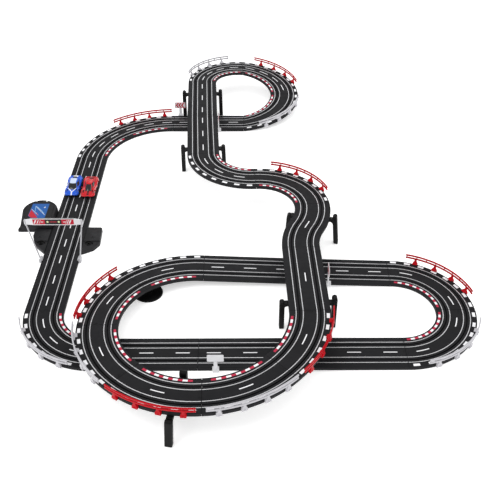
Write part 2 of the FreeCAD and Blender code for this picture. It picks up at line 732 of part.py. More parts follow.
# ============================================================== cars
class CarFrame:
    """Places car parts: forward is -Y, across is +X, height is above the deck's top."""

    def __init__(self, x, y):
        self.x = x
        self.y = y

    def at(self, across, forward, height):
        return V(self.x + across, self.y - forward, DECK_HEIGHT + height)

    def block(self, across, forward, height):
        """Box from (low, high) pairs in the three directions."""
        corner = self.at(across[0], forward[1], height[0])
        return Part.makeBox(across[1] - across[0], forward[1] - forward[0], height[1] - height[0], corner)

    def rod_across(self, radius, across, forward, height):
        """Cylinder along X."""
        start = self.at(across[0], forward, height)
        return Part.makeCylinder(radius, across[1] - across[0], start, V(1, 0, 0))

    def rod_along(self, radius, forward, height, across=0.0):
        """Cylinder along the car."""
        start = self.at(across, forward[1], height)
        return Part.makeCylinder(radius, forward[1] - forward[0], start, V(0, 1, 0))

    def plan_section(self, forward, stations):
        """Wire across the car at one place along it, from (across, height) pairs."""
        points = [self.at(across, forward, height) for across, height in stations]
        return Part.makePolygon(points + points[:1])


def body_wire(car, station, shrink):
    forward, half, high, sill = station
    half -= shrink
    top = high - shrink
    return car.plan_section(forward, [(-half, sill), (half, sill), (half, top - SHOULDER),
                                      (half - SHOULDER, top), (SHOULDER - half, top),
                                      (-half, top - SHOULDER)])


def body_shape(car, shrink):
    """Lofted lower body; shrink gives its inside."""
    stations = [list(s) for s in BODY_STATIONS]
    if shrink:
        stations[0][0] += shrink
        stations[-1][0] -= shrink
        for station in stations:
            station[3] -= 8.0
    return Part.makeLoft([body_wire(car, s, shrink) for s in stations], True, True)


def cabin_shape(car, shrink):
    """Four-sided cabin from belt to roof."""
    back, front, half = CABIN_BELT
    roof_back, roof_front, roof_half = CABIN_ROOF

    def ring(rear, nose, side, height):
        corners = [(-side, rear), (side, rear), (side, nose), (-side, nose)]
        points = [car.at(across, forward, height) for across, forward in corners]
        return Part.makePolygon(points + points[:1])

    low = ring(back + shrink, front - shrink, half - shrink, CABIN_LOW - 6)
    belt = ring(back + shrink, front - shrink, half - shrink, CABIN_LOW)
    roof = ring(roof_back + shrink, roof_front - shrink, roof_half - shrink, CABIN_TOP - shrink)
    return Part.makeLoft([low, belt, roof], True, True)


def wheel_arches(car):
    """Cylinders cut from the body round the wheels."""
    cuts = []
    for forward in (FRONT_AXLE, REAR_AXLE):
        for side in (-1, 1):
            span = sorted((side * (WHEEL_TRACK - TYRE_WIDTH / 2 - 1), side * (CAR_WIDTH / 2 + 1)))
            cuts.append(car.rod_across(WHEEL_RADIUS + 1.5, span, forward, WHEEL_RADIUS))
    return cuts


def shell(car):
    """Hollow body with a cabin, window openings and wheel arches."""
    outer = body_shape(car, 0).fuse(cabin_shape(car, 0))
    inner = body_shape(car, SHELL_WALL).fuse(cabin_shape(car, SHELL_WALL))
    body = outer.cut(inner)
    for cut in wheel_arches(car):
        body = body.cut(cut)
    for window in WINDOWS:
        body = body.cut(car.block(*window))
    return max(body.Solids, key=lambda solid: solid.Volume)


def glass(car):
    """Dark window insert that fits inside the cabin."""
    fit = SHELL_WALL + GLASS_FIT
    insert = cabin_shape(car, fit).cut(cabin_shape(car, fit + GLASS_THICKNESS))
    return insert.cut(car.block((-CAR_WIDTH, CAR_WIDTH), (-WHEELBASE, WHEELBASE), (0, GLASS_LOW)))


def chassis(car):
    """Floor pan with axle bearings, motor cradle and guide boss."""
    pan_across = (-PAN_HALF_WIDTH, PAN_HALF_WIDTH)
    solids = [car.block(pan_across, (-PAN_HALF_LENGTH, PAN_HALF_LENGTH), PAN_SPAN)]
    for forward in (FRONT_AXLE, REAR_AXLE):
        for side in (-1, 1):
            span = sorted((side * LUG_SPAN[0], side * LUG_SPAN[1]))
            along = (forward - LUG_HALF, forward + LUG_HALF)
            solids.append(car.block(span, along, (PAN_SPAN[1] - 0.6, WHEEL_RADIUS + 2.5)))
    for forward in LUG_PLACES:
        along = (forward - LUG_HALF, forward + LUG_HALF)
        solids.append(car.block((-LUG_REACH, LUG_REACH), along, PAN_SPAN))
    body = fused(solids)
    bore_across = (-PAN_HALF_WIDTH - 1, PAN_HALF_WIDTH + 1)
    for forward in (FRONT_AXLE, REAR_AXLE):
        body = body.cut(car.rod_across(AXLE_RADIUS + AXLE_PLAY, bore_across, forward, WHEEL_RADIUS))
    gear_well = car.block((-8.5, 8.5), (REAR_AXLE - 9, REAR_AXLE + 11), (0, PAN_SPAN[1] + 1.4))
    pivot_hole = Part.makeCylinder(GUIDE_POST_RADIUS + 0.05, 6, car.at(0, GUIDE_PIVOT, 1))
    return body.cut(gear_well).cut(pivot_hole)


def guide(car):
    """Swivelling guide: pivot post, plate and a blade that runs in the slot."""
    post_solid = Part.makeCylinder(GUIDE_POST_RADIUS, 6.4, car.at(0, GUIDE_PIVOT, 0.6))
    cap = Part.makeCylinder(3.2, 1.2, car.at(0, GUIDE_PIVOT, 4.7))
    plate = car.block((-11.0, 11.0), (GUIDE_PIVOT - 5, GUIDE_PIVOT + 5), (1.2, 2.4))
    blade = car.block((-GUIDE_BLADE / 2, GUIDE_BLADE / 2), (GUIDE_PIVOT - 6, GUIDE_PIVOT + 6), (-5.2, 1.3))
    return fused([post_solid, cap, plate, blade])


def braids(car):
    """Two pick-up braids that brush the conductor rails."""
    strips = []
    for side in (-1, 1):
        span = sorted((side * (RAIL_OFFSET - BRAID_WIDTH / 2), side * (RAIL_OFFSET + BRAID_WIDTH / 2)))
        strips.append(car.block(span, (GUIDE_PIVOT - 8, GUIDE_PIVOT + 5), (RAIL_PROUD + 0.05, 1.15)))
    return strips


def wheel(car, forward, side):
    """Hub and tyre at one end of an axle."""
    near = WHEEL_TRACK - TYRE_WIDTH / 2
    far = WHEEL_TRACK + TYRE_WIDTH / 2
    span = sorted((side * near, side * far))
    hub = car.rod_across(HUB_RADIUS, span, forward, WHEEL_RADIUS)
    hub = hub.cut(car.rod_across(AXLE_RADIUS + 0.02, span, forward, WHEEL_RADIUS))
    dish = sorted((side * (far - 1.5), side * (far + 1)))
    hub = hub.cut(car.rod_across(HUB_RADIUS - 1.0, dish, forward, WHEEL_RADIUS))
    tyre = car.rod_across(WHEEL_RADIUS - 0.05, span, forward, WHEEL_RADIUS)
    tyre = tyre.makeFillet(1.2, [e for e in tyre.Edges if e.Closed])
    return hub, tyre.cut(car.rod_across(HUB_RADIUS + 0.02, span, forward, WHEEL_RADIUS))


def axle_set(car, forward):
    """Axle with its two hubs, and the two tyres."""
    reach = WHEEL_TRACK + TYRE_WIDTH / 2 - 1.6
    axle = car.rod_across(AXLE_RADIUS, (-reach, reach), forward, WHEEL_RADIUS)
    wheels = [wheel(car, forward, side) for side in (-1, 1)]
    return [axle] + [hub for hub, _ in wheels], [tyre for _, tyre in wheels]


def crown_gear(car):
    """Contrate gear on the rear axle; its teeth face the pinion."""
    pitch = CROWN_TEETH * GEAR_MODULE / 2
    face = PINION_TEETH * GEAR_MODULE / 2
    depth = GEAR_MODULE
    disc = car.rod_across(pitch + 0.8, (face + depth, face + depth + 1.5), REAR_AXLE, WHEEL_RADIUS)
    solids = [disc]
    for k in range(CROWN_TEETH):
        tooth = car.block((face - 0.8 * depth, face + depth + 0.2),
                          (REAR_AXLE + pitch - 0.7, REAR_AXLE + pitch + 0.7),
                          (WHEEL_RADIUS - GEAR_HALF_TOOTH, WHEEL_RADIUS + GEAR_HALF_TOOTH))
        centre = car.at(0, REAR_AXLE, WHEEL_RADIUS)
        tooth.rotate(centre, V(1, 0, 0), 360.0 * (k + 0.5) / CROWN_TEETH)
        solids.append(tooth)
    gear = fused(solids)
    return gear.cut(car.rod_across(AXLE_RADIUS + 0.02, (0, 12), REAR_AXLE, WHEEL_RADIUS))


def pinion(car):
    """Motor pinion on its shaft."""
    pitch = PINION_TEETH * GEAR_MODULE / 2
    middle = REAR_AXLE + CROWN_TEETH * GEAR_MODULE / 2
    core = car.rod_along(pitch - 0.7, (middle - 1.2, middle + 1.6), WHEEL_RADIUS)
    solids = [core]
    for k in range(PINION_TEETH):
        tooth = car.block((pitch - 1.0, pitch + 0.4), (middle - 1.2, middle + 1.6),
                          (WHEEL_RADIUS - 0.25, WHEEL_RADIUS + 0.25))
        tooth.rotate(car.at(0, middle, WHEEL_RADIUS), V(0, 1, 0), 360.0 * k / PINION_TEETH)
        solids.append(tooth)
    return fused(solids).cut(car.rod_along(SHAFT_RADIUS + 0.02, (middle - 3, middle + 3), WHEEL_RADIUS))


def motor_shaft(car):
    tip = REAR_AXLE + CROWN_TEETH * GEAR_MODULE / 2 - 1.2
    return car.rod_along(SHAFT_RADIUS, (tip, MOTOR_SPAN[1] + 1.0), WHEEL_RADIUS)


def motor_can(car):
    """Flat-sided motor with a through bore for its shaft."""
    can = car.rod_along(MOTOR_RADIUS, MOTOR_SPAN, WHEEL_RADIUS)
    height = (MOTOR_LOW, WHEEL_RADIUS + MOTOR_HALF_HEIGHT)
    flats = car.block((-MOTOR_RADIUS, MOTOR_RADIUS), MOTOR_SPAN, height)
    bore = car.rod_along(SHAFT_RADIUS + 0.05, (MOTOR_SPAN[0] - 1, MOTOR_SPAN[1] + 2), WHEEL_RADIUS)
    return can.common(flats).cut(bore)


def build_car(name, x, y):
    car = CarFrame(x, y)
    front, front_tyres = axle_set(car, FRONT_AXLE)
    rear, rear_tyres = axle_set(car, REAR_AXLE)
    write(name + "_shell", [shell(car)])
    write(name + "_windows", [glass(car)])
    write(name + "_chassis", [chassis(car)])
    write(name + "_guide", [guide(car)])
    write(name + "_braids", braids(car))
    write(name + "_front_axle", front)
    write(name + "_front_tyres", front_tyres)
    write(name + "_rear_axle", rear + [crown_gear(car)])
    write(name + "_rear_tyres", rear_tyres)
    write(name + "_pinion", [pinion(car), motor_shaft(car)])
    write(name + "_motor_can", [motor_can(car)])
    write(name + "_magnet", [car.block((-6, 6), (REAR_AXLE + 12, REAR_AXLE + 20), (1.0, PAN_SPAN[0] - 0.1))])


# ============================================================== all sub-parts
def main():
    os.makedirs("parts", exist_ok=True)
    pieces = laid_pieces()
    build_track(pieces)
    build_supports(pieces)
    build_fences(pieces)
    build_furniture(pieces)
    build_console()
    for name, x, y in CARS:
        build_car(name, x, y)


main()
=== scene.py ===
import math

import bmesh
import bpy
from mathutils import Matrix, Vector


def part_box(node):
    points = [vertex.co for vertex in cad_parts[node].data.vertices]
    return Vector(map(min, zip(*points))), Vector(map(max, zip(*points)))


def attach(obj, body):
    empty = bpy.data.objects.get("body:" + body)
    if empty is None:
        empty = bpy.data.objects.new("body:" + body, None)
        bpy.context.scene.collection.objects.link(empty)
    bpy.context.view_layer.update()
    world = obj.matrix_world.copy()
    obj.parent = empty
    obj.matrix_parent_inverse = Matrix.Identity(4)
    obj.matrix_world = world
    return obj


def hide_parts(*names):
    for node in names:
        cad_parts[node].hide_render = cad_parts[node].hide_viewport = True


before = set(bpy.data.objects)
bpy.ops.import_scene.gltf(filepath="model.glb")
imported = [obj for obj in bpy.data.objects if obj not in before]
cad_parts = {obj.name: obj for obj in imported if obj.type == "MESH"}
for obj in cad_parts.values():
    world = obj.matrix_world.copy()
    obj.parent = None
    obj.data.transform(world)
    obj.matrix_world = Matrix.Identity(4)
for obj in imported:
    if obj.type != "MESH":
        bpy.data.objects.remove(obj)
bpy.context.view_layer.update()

MM = 0.001
UP = Vector((0, 0, 1))

# ---- track, in millimetres as the CAD part states them
DECK_WIDTH = 114.0
DECK_HEIGHT = 10.0
DECK_SKIN = 2.6
SKIRT = 2.4
LANE_OFFSET = 28.5
SLOT_WIDTH = 3.4
SLOT_DEPTH = 7.0
RAIL_OFFSET = 9.7
RAIL_WIDTH = 2.2
RAIL_PROUD = 0.3
STRAIGHT_LENGTH = 282.0
TIGHT_RADIUS = 171.0
WIDE_RADIUS = 285.0
S_BEND_RADIUS = 228.0
SEAM_GAP = 0.4
POWER_PIECE = 5
BRIDGE_LEVEL = 92.0
JOINT_LEVEL = {11: 42.0, 12: 82.0, 13: 100.0, 14: 96.0, **{joint: BRIDGE_LEVEL for joint in range(15, 21)},
               21: 85.0, 22: 77.0, 23: 67.0, 24: 55.0, 25: 40.0, 26: 22.0, 27: 8.0}
# Bends at the joints from a first to a last, in degrees each.
JOINT_PLAY = ((9, 13, 0.7), (14, 16, 0.7), (17, 19, -1.0), (20, 20, -1.4), (21, 23, 0.8), (24, 27, -0.75))
RIGID_JOINTS = (POWER_PIECE, POWER_PIECE + 1)
STRAIGHT = (None, 0.0)
TIGHT_RIGHT = (TIGHT_RADIUS, -90.0)
TIGHT_LEFT = (TIGHT_RADIUS, 90.0)
WIDE_RIGHT = (WIDE_RADIUS, -45.0)
BEND_RIGHT = (S_BEND_RADIUS, -30.0)
BEND_LEFT = (S_BEND_RADIUS, 30.0)
SECTIONS = (
    ("bottom_straights", [STRAIGHT] * 3), ("corner_left", [TIGHT_RIGHT]), ("left_straight", [STRAIGHT]),
    ("power_piece", [STRAIGHT]), ("grid_straight", [STRAIGHT]), ("top_left_curves", [WIDE_RIGHT] * 2),
    ("underpass_straight", [STRAIGHT]), ("top_loop_curves", [TIGHT_LEFT] * 3),
    ("bridge_straights", [STRAIGHT] * 2), ("left_turn", [TIGHT_LEFT]), ("right_turn", [TIGHT_RIGHT]),
    ("s_bend", [BEND_RIGHT, BEND_LEFT]), ("elevated_straight", [STRAIGHT]),
    ("big_loop_curves", [WIDE_RIGHT] * 6), ("middle_straights", [STRAIGHT] * 2),
    ("right_loop_curves", [TIGHT_RIGHT] * 2),
)
# Each support: piece, distance along, then (rise above the deck's feet, splay) of its right and left posts.
SUPPORTS = ((13, 82.0, (11.0, 1.0), (12.0, 1.0)), (14, 227.0, (12.0, 1.0), (8.0, 2.0)),
            (17, 59.0, (0.0, 5.0), (14.0, 9.0)), (19, 237.0, (5.0, 0.0), (17.0, 0.0)),
            (22, 63.0, (17.0, 0.0), (0.0, 14.0)))
# Piece, distance along, offset.
PILLAR_PLACE = (25, 30.0, -23.0)
RED_FENCE_PIECES = (8, 11, 16, 20, 22, 24, 28)
WHITE_FENCE_PIECES = (3, 10, 12, 21, 23, 29)


# ---- circuit layout
ORIGIN = (0.0, 0.0, 0.0)
CLOSING_ROUNDS = 5


def piece_length(shape):
    radius, turn = shape
    return radius * math.radians(abs(turn)) if radius else STRAIGHT_LENGTH


def advance(pose, shape, along):
    """Pose (x, y, heading) at a distance along a piece; on a curve, its sign doesn't count."""
    x, y, heading = pose
    radius, turn = shape
    if radius is None:
        return x + along * math.cos(heading), y + along * math.sin(heading), heading
    side = math.copysign(radius, turn)
    after = heading + abs(along) / side
    return (x + side * (math.sin(after) - math.sin(heading)),
            y + side * (math.cos(heading) - math.cos(after)), after)


def joint_poses(start, shapes, bends):
    """Pose at the start of every piece and at the circuit's end."""
    poses = []
    pose = start
    for shape, bend in zip(shapes, bends):
        poses.append((pose[0], pose[1], pose[2] + bend))
        pose = advance(poses[-1], shape, piece_length(shape))
    return poses + [pose]


def joint_bends(shapes):
    """Bend at each joint: its play, plus the smallest bends that close the loop."""
    bends = [0.0] * len(shapes)
    for first, last, turn in JOINT_PLAY:
        bends[first:last + 1] = [math.radians(turn)] * (last + 1 - first)
    free = [index for index in range(len(bends)) if index not in RIGID_JOINTS]
    for _ in range(CLOSING_ROUNDS):
        poses = joint_poses(ORIGIN, shapes, bends)
        end = poses[-1]
        levers = [Vector((poses[i][1] - end[1], end[0] - poses[i][0], 1.0)) for i in free]
        normal = Matrix([[sum(a[r] * a[c] for a in levers) for c in range(3)] for r in range(3)])
        spare = (end[2] + math.pi) % (2 * math.pi) - math.pi
        pull = normal.inverted() @ Vector((-end[0], -end[1], -spare))
        for index, lever in zip(free, levers):
            bends[index] += lever.dot(pull)
    return bends


class TrackPiece:
    """One laid piece: gives points (in metres) from distance along, offset and height (in mm)."""

    def __init__(self, index, pose, shape, bend_before, bend_after):
        self.index = index
        self.pose = pose
        self.shape = shape
        self.radius, turn = shape
        self.curved = self.radius is not None
        self.length = piece_length(shape)
        self.outside = -math.copysign(1, turn)
        self.low = JOINT_LEVEL.get(index, 0.0)
        self.rise = JOINT_LEVEL.get(index + 1, 0.0) - self.low
        self.mitres = (math.tan(bend_before / 2), math.tan(bend_after / 2))

    def limits(self, offset, gap=SEAM_GAP):
        """Mitred start and end at an offset, as distances along the middle of the piece."""
        scale = self.radius / (self.radius + self.outside * offset) if self.curved else 1.0
        before, after = [(gap / 2 + offset * mitre) * scale for mitre in self.mitres]
        return before, self.length - after

    def point(self, along, offset, height):
        x, y, heading = advance(self.pose, self.shape, along)
        z = self.low + self.rise * along / self.length + height
        return Vector((x - offset * math.sin(heading), y + offset * math.cos(heading), z)) * MM

    def tangent(self, along):
        heading = advance(self.pose, self.shape, along)[2]
        return Vector((math.cos(heading), math.sin(heading), 0))

    def across(self, along):
        return UP.cross(self.tangent(along))


def laid_pieces():
    """Every piece, with the power track's middle at the origin, running along +Y."""
    shapes = [shape for _, section in SECTIONS for shape in section]
    bends = joint_bends(shapes)
    x, y, heading = joint_poses(ORIGIN, shapes, bends)[POWER_PIECE]
    turn = math.pi / 2 - heading
    start_x = -(x * math.cos(turn) - y * math.sin(turn))
    start_y = -(x * math.sin(turn) + y * math.cos(turn)) - STRAIGHT_LENGTH / 2
    poses = joint_poses((start_x, start_y, turn), shapes, bends)
    return [TrackPiece(i, poses[i], shape, bends[i], bends[(i + 1) % len(bends)])
            for i, shape in enumerate(shapes)]


PIECES = laid_pieces()


# ---- mesh building
# Longest step along a curve.
SWEEP_STEP = 6.0


def around(axis, sides):
    """Unit vectors evenly round an axis."""
    side = axis.orthogonal().normalized()
    other = axis.cross(side)
    angles = [2 * math.pi * k / sides for k in range(sides)]
    return [side * math.cos(a) + other * math.sin(a) for a in angles]


def floor_point(x, y, z=0.0):
    """Point in metres from millimetres."""
    return Vector((x, y, z)) * MM


def link(item):
    bpy.context.scene.collection.objects.link(item)
    return item


class Builder:
    """Collects vertices and faces, then makes one object. Points are in metres, sizes in mm."""

    def __init__(self):
        self.points = []
        self.faces = []
        self.slots = []

    def add(self, points, faces, slot=0):
        base = len(self.points)
        self.points += [tuple(p) for p in points]
        self.faces += [tuple(base + i for i in face) for face in faces]
        self.slots += [slot] * len(faces)

    def loft(self, rings, slot=0, closed=False):
        """Quads between equal rings of points, with flat ends; closed joins the last ring to the first."""
        count = len(rings[0])
        total = len(rings)
        faces = []
        for r in range(total if closed else total - 1):
            here, there = r * count, (r + 1) % total * count
            for k in range(count):
                after = (k + 1) % count
                faces.append((here + k, here + after, there + after, there + k))
        if not closed:
            faces += [tuple(range(count - 1, -1, -1)), tuple(range((total - 1) * count, total * count))]
        self.add([p for ring in rings for p in ring], faces, slot)

    def sweep(self, piece, outline, start, end, slot=0):
        """Outline of (offset, height) pairs swept along a piece."""
        steps = max(1, math.ceil((end - start) / SWEEP_STEP)) if piece.curved else 1
        self.loft([[piece.point(start + (end - start) * k / steps, *pair) for pair in outline]
                   for k in range(steps + 1)], slot)

    def fill(self, piece, outline, ease):
        """Outline swept from joint to joint, mitred; ease lowers the top at both ends."""
        spans = [piece.limits(offset) for offset, _ in outline]
        steps = max(1, math.ceil(piece.length / SWEEP_STEP)) if piece.curved else 1
        places = [(0.0, 0.0, ease), (0.0, ease, 0.0)] + [(k / steps, 0.0, 0.0) for k in range(1, steps)]
        places += [(1.0, -ease, 0.0), (1.0, 0.0, ease)]
        self.loft([[piece.point(low + (high - low) * fraction + shift, offset,
                                min(height, DECK_HEIGHT - drop))
                    for (low, high), (offset, height) in zip(spans, outline)]
                   for fraction, shift, drop in places])

    def sheet(self, outer, inner, slot=0):
        """Closed slab between two equal grids of points."""
        rows, columns = len(outer), len(outer[0])
        total = rows * columns
        faces = []
        for r in range(rows - 1):
            for c in range(columns - 1):
                a = r * columns + c
                faces.append((a, a + 1, a + 1 + columns, a + columns))
                faces.append((total + a, total + a + columns, total + a + 1 + columns, total + a + 1))
        rim = list(range(columns)) + [r * columns + columns - 1 for r in range(1, rows)]
        rim += [(rows - 1) * columns + c for c in range(columns - 2, -1, -1)]
        rim += [r * columns for r in range(rows - 2, 0, -1)]
        faces += [(a, b, total + b, total + a) for a, b in zip(rim, rim[1:] + rim[:1])]
        self.add([p for grid in (outer, inner) for row in grid for p in row], faces, slot)

    def prism(self, corners, direction, slot=0):
        """Flat polygon pushed along a vector."""
        self.loft([list(corners), [p + direction for p in corners]], slot)

    def slab(self, piece, outline, along, width):
        """Outline across the track at one place, with a level thickness along it."""
        half = piece.tangent(along) * (width / 2 * MM)
        ring = [piece.point(along, *pair) for pair in outline]
        self.loft([[p - half for p in ring], [p + half for p in ring]])

    def box(self, low, high, slot=0, turn=None):
        """Axis-aligned box between two corners, optionally turned by a matrix."""
        corners = [Vector((x, y, low[2])) for x, y in rectangle(low[0], high[0], low[1], high[1])]
        lift = Vector((0, 0, high[2] - low[2]))
        if turn is not None:
            corners = [turn @ p for p in corners]
            lift = turn.to_3x3() @ lift
        self.prism(corners, lift, slot)

    def rod(self, start, end, radius, sides=16, end_radius=None):
        """Round bar between two points."""
        ways = around((end - start).normalized(), sides)
        self.loft([[centre + way * (size * MM) for way in ways]
                   for centre, size in ((start, radius), (end, end_radius or radius))])

    def lathe(self, centre, axis, profile, sides):
        """Closed profile of (along, radius) pairs turned about an axis."""
        self.loft([[centre + axis * (along * MM) + way * (radius * MM) for along, radius in profile]
                   for way in around(axis, sides)], closed=True)

    def mesh(self, name, materials=()):
        """Mesh data with outward normals."""
        mesh = bpy.data.meshes.new(name)
        mesh.from_pydata(self.points, [], self.faces)
        for material in materials:
            mesh.materials.append(material)
        mesh.polygons.foreach_set("material_index", self.slots)
        tidy = bmesh.new()
        tidy.from_mesh(mesh)
        bmesh.ops.recalc_face_normals(tidy, faces=tidy.faces)
        tidy.to_mesh(mesh)
        tidy.free()
        return mesh

    def build(self, name, materials, bevel=0.0, segments=2, sharp=35.0, body="track_layout",
              stands_for=(), subdivide=0, cutters=()):
        """The finished piece, riding on a body and standing for CAD nodes."""
        piece = link(bpy.data.objects.new(name, self.mesh(name, materials)))
        if subdivide:
            modifier = piece.modifiers.new("subdivide", "SUBSURF")
            modifier.levels = modifier.render_levels = subdivide
            settle(piece)
        for cutter in cutters:
            carve(piece, cutter)
        piece.data.polygons.foreach_set("use_smooth", [True] * len(piece.data.polygons))
        piece.data.set_sharp_from_angle(angle=math.radians(sharp))
        if bevel:
            modifier = piece.modifiers.new("bevel", "BEVEL")
            modifier.width = bevel * MM
            modifier.segments = segments
            modifier.limit_method = "ANGLE"
            modifier.angle_limit = math.radians(35)
        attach(piece, body)
        if stands_for:
            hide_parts(*stands_for)


def settle(piece):
    """Turn a piece's modifiers into its mesh."""
    graph = bpy.context.evaluated_depsgraph_get()
    mesh = bpy.data.meshes.new_from_object(piece.evaluated_get(graph))
    piece.modifiers.clear()
    mesh.name = piece.name
    piece.data = mesh


def carve(piece, cutter):
    """Cut a builder's solids out of a piece."""
    tool = link(bpy.data.objects.new("tool", cutter.mesh("tool")))
    modifier = piece.modifiers.new("cut", "BOOLEAN")
    modifier.operation = "DIFFERENCE"
    modifier.solver = "EXACT"
    modifier.object = tool
    settle(piece)
    bpy.data.objects.remove(tool)


# ---- materials
EDGE_WEAR_RADIUS = 0.0006


def feed(target, value):
    """Set a node's input to a number or colour, or link it to an output."""
    if isinstance(value, bpy.types.NodeSocket):
        target.id_data.links.new(value, target)
    elif target.type == "RGBA":
        target.default_value = (*value, 1.0)
    else:
        target.default_value = value


def new_node(tree, kind, values=None, **settings):
    """Node with its settings, and its inputs fed by name or number."""
    made = tree.nodes.new("ShaderNode" + kind)
    for key, value in settings.items():
        setattr(made, key, value)
    for key, value in (values or {}).items():
        feed(made.inputs[key], value)
    return made


class Nodes:
    """Small helper for wiring a material's nodes."""

    def __init__(self, name):
        self.material = bpy.data.materials.new(name)
        self.material.use_nodes = True
        self.tree = self.material.node_tree
        self.tree.nodes.clear()
        self.shader = self.node("BsdfPrincipled")
        self.node("OutputMaterial", {"Surface": self.shader.outputs[0]})
        self.coordinates = self.node("TexCoord").outputs["Object"]

    def node(self, kind, values=None, **settings):
        return new_node(self.tree, kind, values, **settings)

    def noise(self, scale, detail=3.0, roughness=0.6, stretch=None):
        """Noise value; scale is in repeats per metre."""
        place = self.coordinates
        if stretch:
            place = self.node("Mapping", {"Vector": place, "Scale": stretch}).outputs[0]
        values = {"Scale": scale, "Detail": detail, "Roughness": roughness, "Vector": place}
        return self.node("TexNoise", values).outputs["Fac"]

    def spread(self, value, low, high, at=(0.3, 0.7)):
        """Value mapped from one range to another."""
        return self.node("MapRange", {"From Min": at[0], "From Max": at[1], "To Min": low, "To Max": high,
                                      "Value": value}).outputs[0]

    def mix(self, factor, first, second):
        """Colour mix; first and second are colours or outputs."""
        return self.node("Mix", {0: factor, 6: first, 7: second}, data_type="RGBA").outputs[2]

    def maths(self, operation, *values):
        return self.node("Math", dict(enumerate(values)), operation=operation).outputs[0]

    def edge_wear(self):
        """0 on flats, up to 1 near edges."""
        bevel = self.node("Bevel", {"Radius": EDGE_WEAR_RADIUS}, samples=4)
        flat = self.node("NewGeometry").outputs["Normal"]
        dot = self.node("VectorMath", {0: bevel.outputs[0], 1: flat}, operation="DOT_PRODUCT")
        return self.spread(dot.outputs["Value"], 1.0, 0.0, at=(0.75, 0.99))

    def finish(self, height, strength, distance, **values):
        """Feed the shader, with a bump from a height; gives the material."""
        bump = self.node("Bump", {"Strength": strength, "Distance": distance, "Height": height})
        for key, value in values.items():
            feed(self.shader.inputs[key.replace("_", " ")], value)
        feed(self.shader.inputs["Normal"], bump.outputs[0])
        return self.material


def moulded(name, colour, light, roughness=(0.45, 0.65), grain=2600.0, depth=0.00006, coat=0.0,
            wear=0.25, specular=0.5):
    """Moulded plastic: faint colour drift, eroded grain and paler worn edges."""
    made = Nodes(name)
    base = made.mix(made.spread(made.noise(14.0, 4.0), 0.0, 0.5), colour, light)
    base = made.mix(made.spread(made.noise(900.0, 2.0), 0.0, 0.25, at=(0.45, 0.75)), base, light)
    if wear:
        rubbed = made.maths("MULTIPLY", made.edge_wear(), made.spread(made.noise(160.0), 0.0, wear))
        base = made.mix(rubbed, base, tuple(min(1.0, c * 2.5 + 0.03) for c in light))
    return made.finish(made.noise(grain, 2.0, 0.5), 0.35, depth, Base_Color=base,
                       Roughness=made.spread(made.noise(60.0, 5.0), *roughness),
                       Coat_Weight=coat, Coat_Roughness=0.12, Specular_IOR_Level=specular)


def printed(name, colour, under=(0.03, 0.03, 0.034), worn=0.22):
    """Screen-printed ink, slightly thin in places so that what is under it shows through."""
    made = Nodes(name)
    thin = made.spread(made.noise(700.0, 4.0), 0.0, worn, at=(0.58, 0.72))
    scuff = made.spread(made.noise(90.0, 6.0, 0.7), 0.0, worn * 0.7, at=(0.6, 0.75))
    return made.finish(made.noise(2600.0, 2.0), 0.25, 0.00004,
                       Base_Color=made.mix(made.maths("ADD", thin, scuff), colour, under),
                       Roughness=made.spread(made.noise(200.0), 0.4, 0.6), Specular_IOR_Level=0.4)


def metal(name, colour, roughness=(0.22, 0.4)):
    """Bare metal with fine grain and faint smudges."""
    made = Nodes(name)
    grain = made.noise(60.0, 4.0, 0.6, stretch=(40.0, 40.0, 40.0))
    dull = tuple(c * 0.75 for c in colour)
    return made.finish(grain, 0.2, 0.00003, Metallic=1.0, Roughness=made.spread(grain, *roughness),
                       Base_Color=made.mix(made.spread(made.noise(25.0, 4.0), 0.0, 0.6), colour, dull))


TRACK = moulded("track_plastic", (0.011, 0.011, 0.0125), (0.017, 0.017, 0.019), (0.5, 0.68), 3200.0,
                wear=0.15, specular=0.13)
SUPPORT = moulded("support_plastic", (0.003, 0.003, 0.0033), (0.006, 0.006, 0.0065), (0.38, 0.55),
                  wear=0.12, specular=0.16)
CONSOLE = moulded("console_plastic", (0.012, 0.012, 0.0135), (0.018, 0.018, 0.020), (0.42, 0.6), 2400.0,
                  wear=0.15, specular=0.2)
SOCKET = moulded("socket_plastic", (0.002, 0.002, 0.002), (0.004, 0.004, 0.004), (0.35, 0.5), wear=0.08,
                 specular=0.15)
INK_WHITE = printed("ink_white", (0.84, 0.84, 0.86), worn=0.12)
INK_RED = printed("ink_red", (0.47, 0.004, 0.042), worn=0.12)
RAIL = metal("rail_steel", (0.93, 0.93, 0.95), (0.45, 0.6))
FENCE_RED = moulded("fence_red_plastic", (0.41, 0.0005, 0.006), (0.45, 0.001, 0.008), (0.24, 0.36),
                    1500.0, 0.00003, wear=0.02, specular=0.12)
FENCE_WHITE = moulded("fence_white_plastic", (0.44, 0.435, 0.46), (0.50, 0.49, 0.52), (0.2, 0.34), 1500.0,
                      0.00003, coat=0.2, wear=0.0)
SIGN_WHITE = moulded("sign_white_plastic", (0.66, 0.66, 0.68), (0.72, 0.72, 0.74), (0.3, 0.45), 1500.0,
                     0.00002, wear=0.0)
POLE_WHITE = moulded("pole_white_plastic", (0.42, 0.42, 0.44), (0.47, 0.47, 0.49), (0.3, 0.45), 1500.0,
                     0.00002, wear=0.0)
PRINT_RED = printed("print_red_gloss", (0.46, 0.002, 0.020), (0.3, 0.01, 0.02), 0.1)
PRINT_BLACK = printed("print_black_gloss", (0.009, 0.009, 0.010), (0.02, 0.02, 0.02))
PRINT_BLUE = printed("print_blue_gloss", (0.002, 0.085, 0.33), (0.01, 0.09, 0.30), 0.12)
PRINT_PALE = printed("print_pale_gloss", (0.72, 0.74, 0.40), (0.5, 0.5, 0.3))
PRINT_SKY = printed("print_sky_gloss", (0.32, 0.62, 0.86), (0.3, 0.5, 0.7))


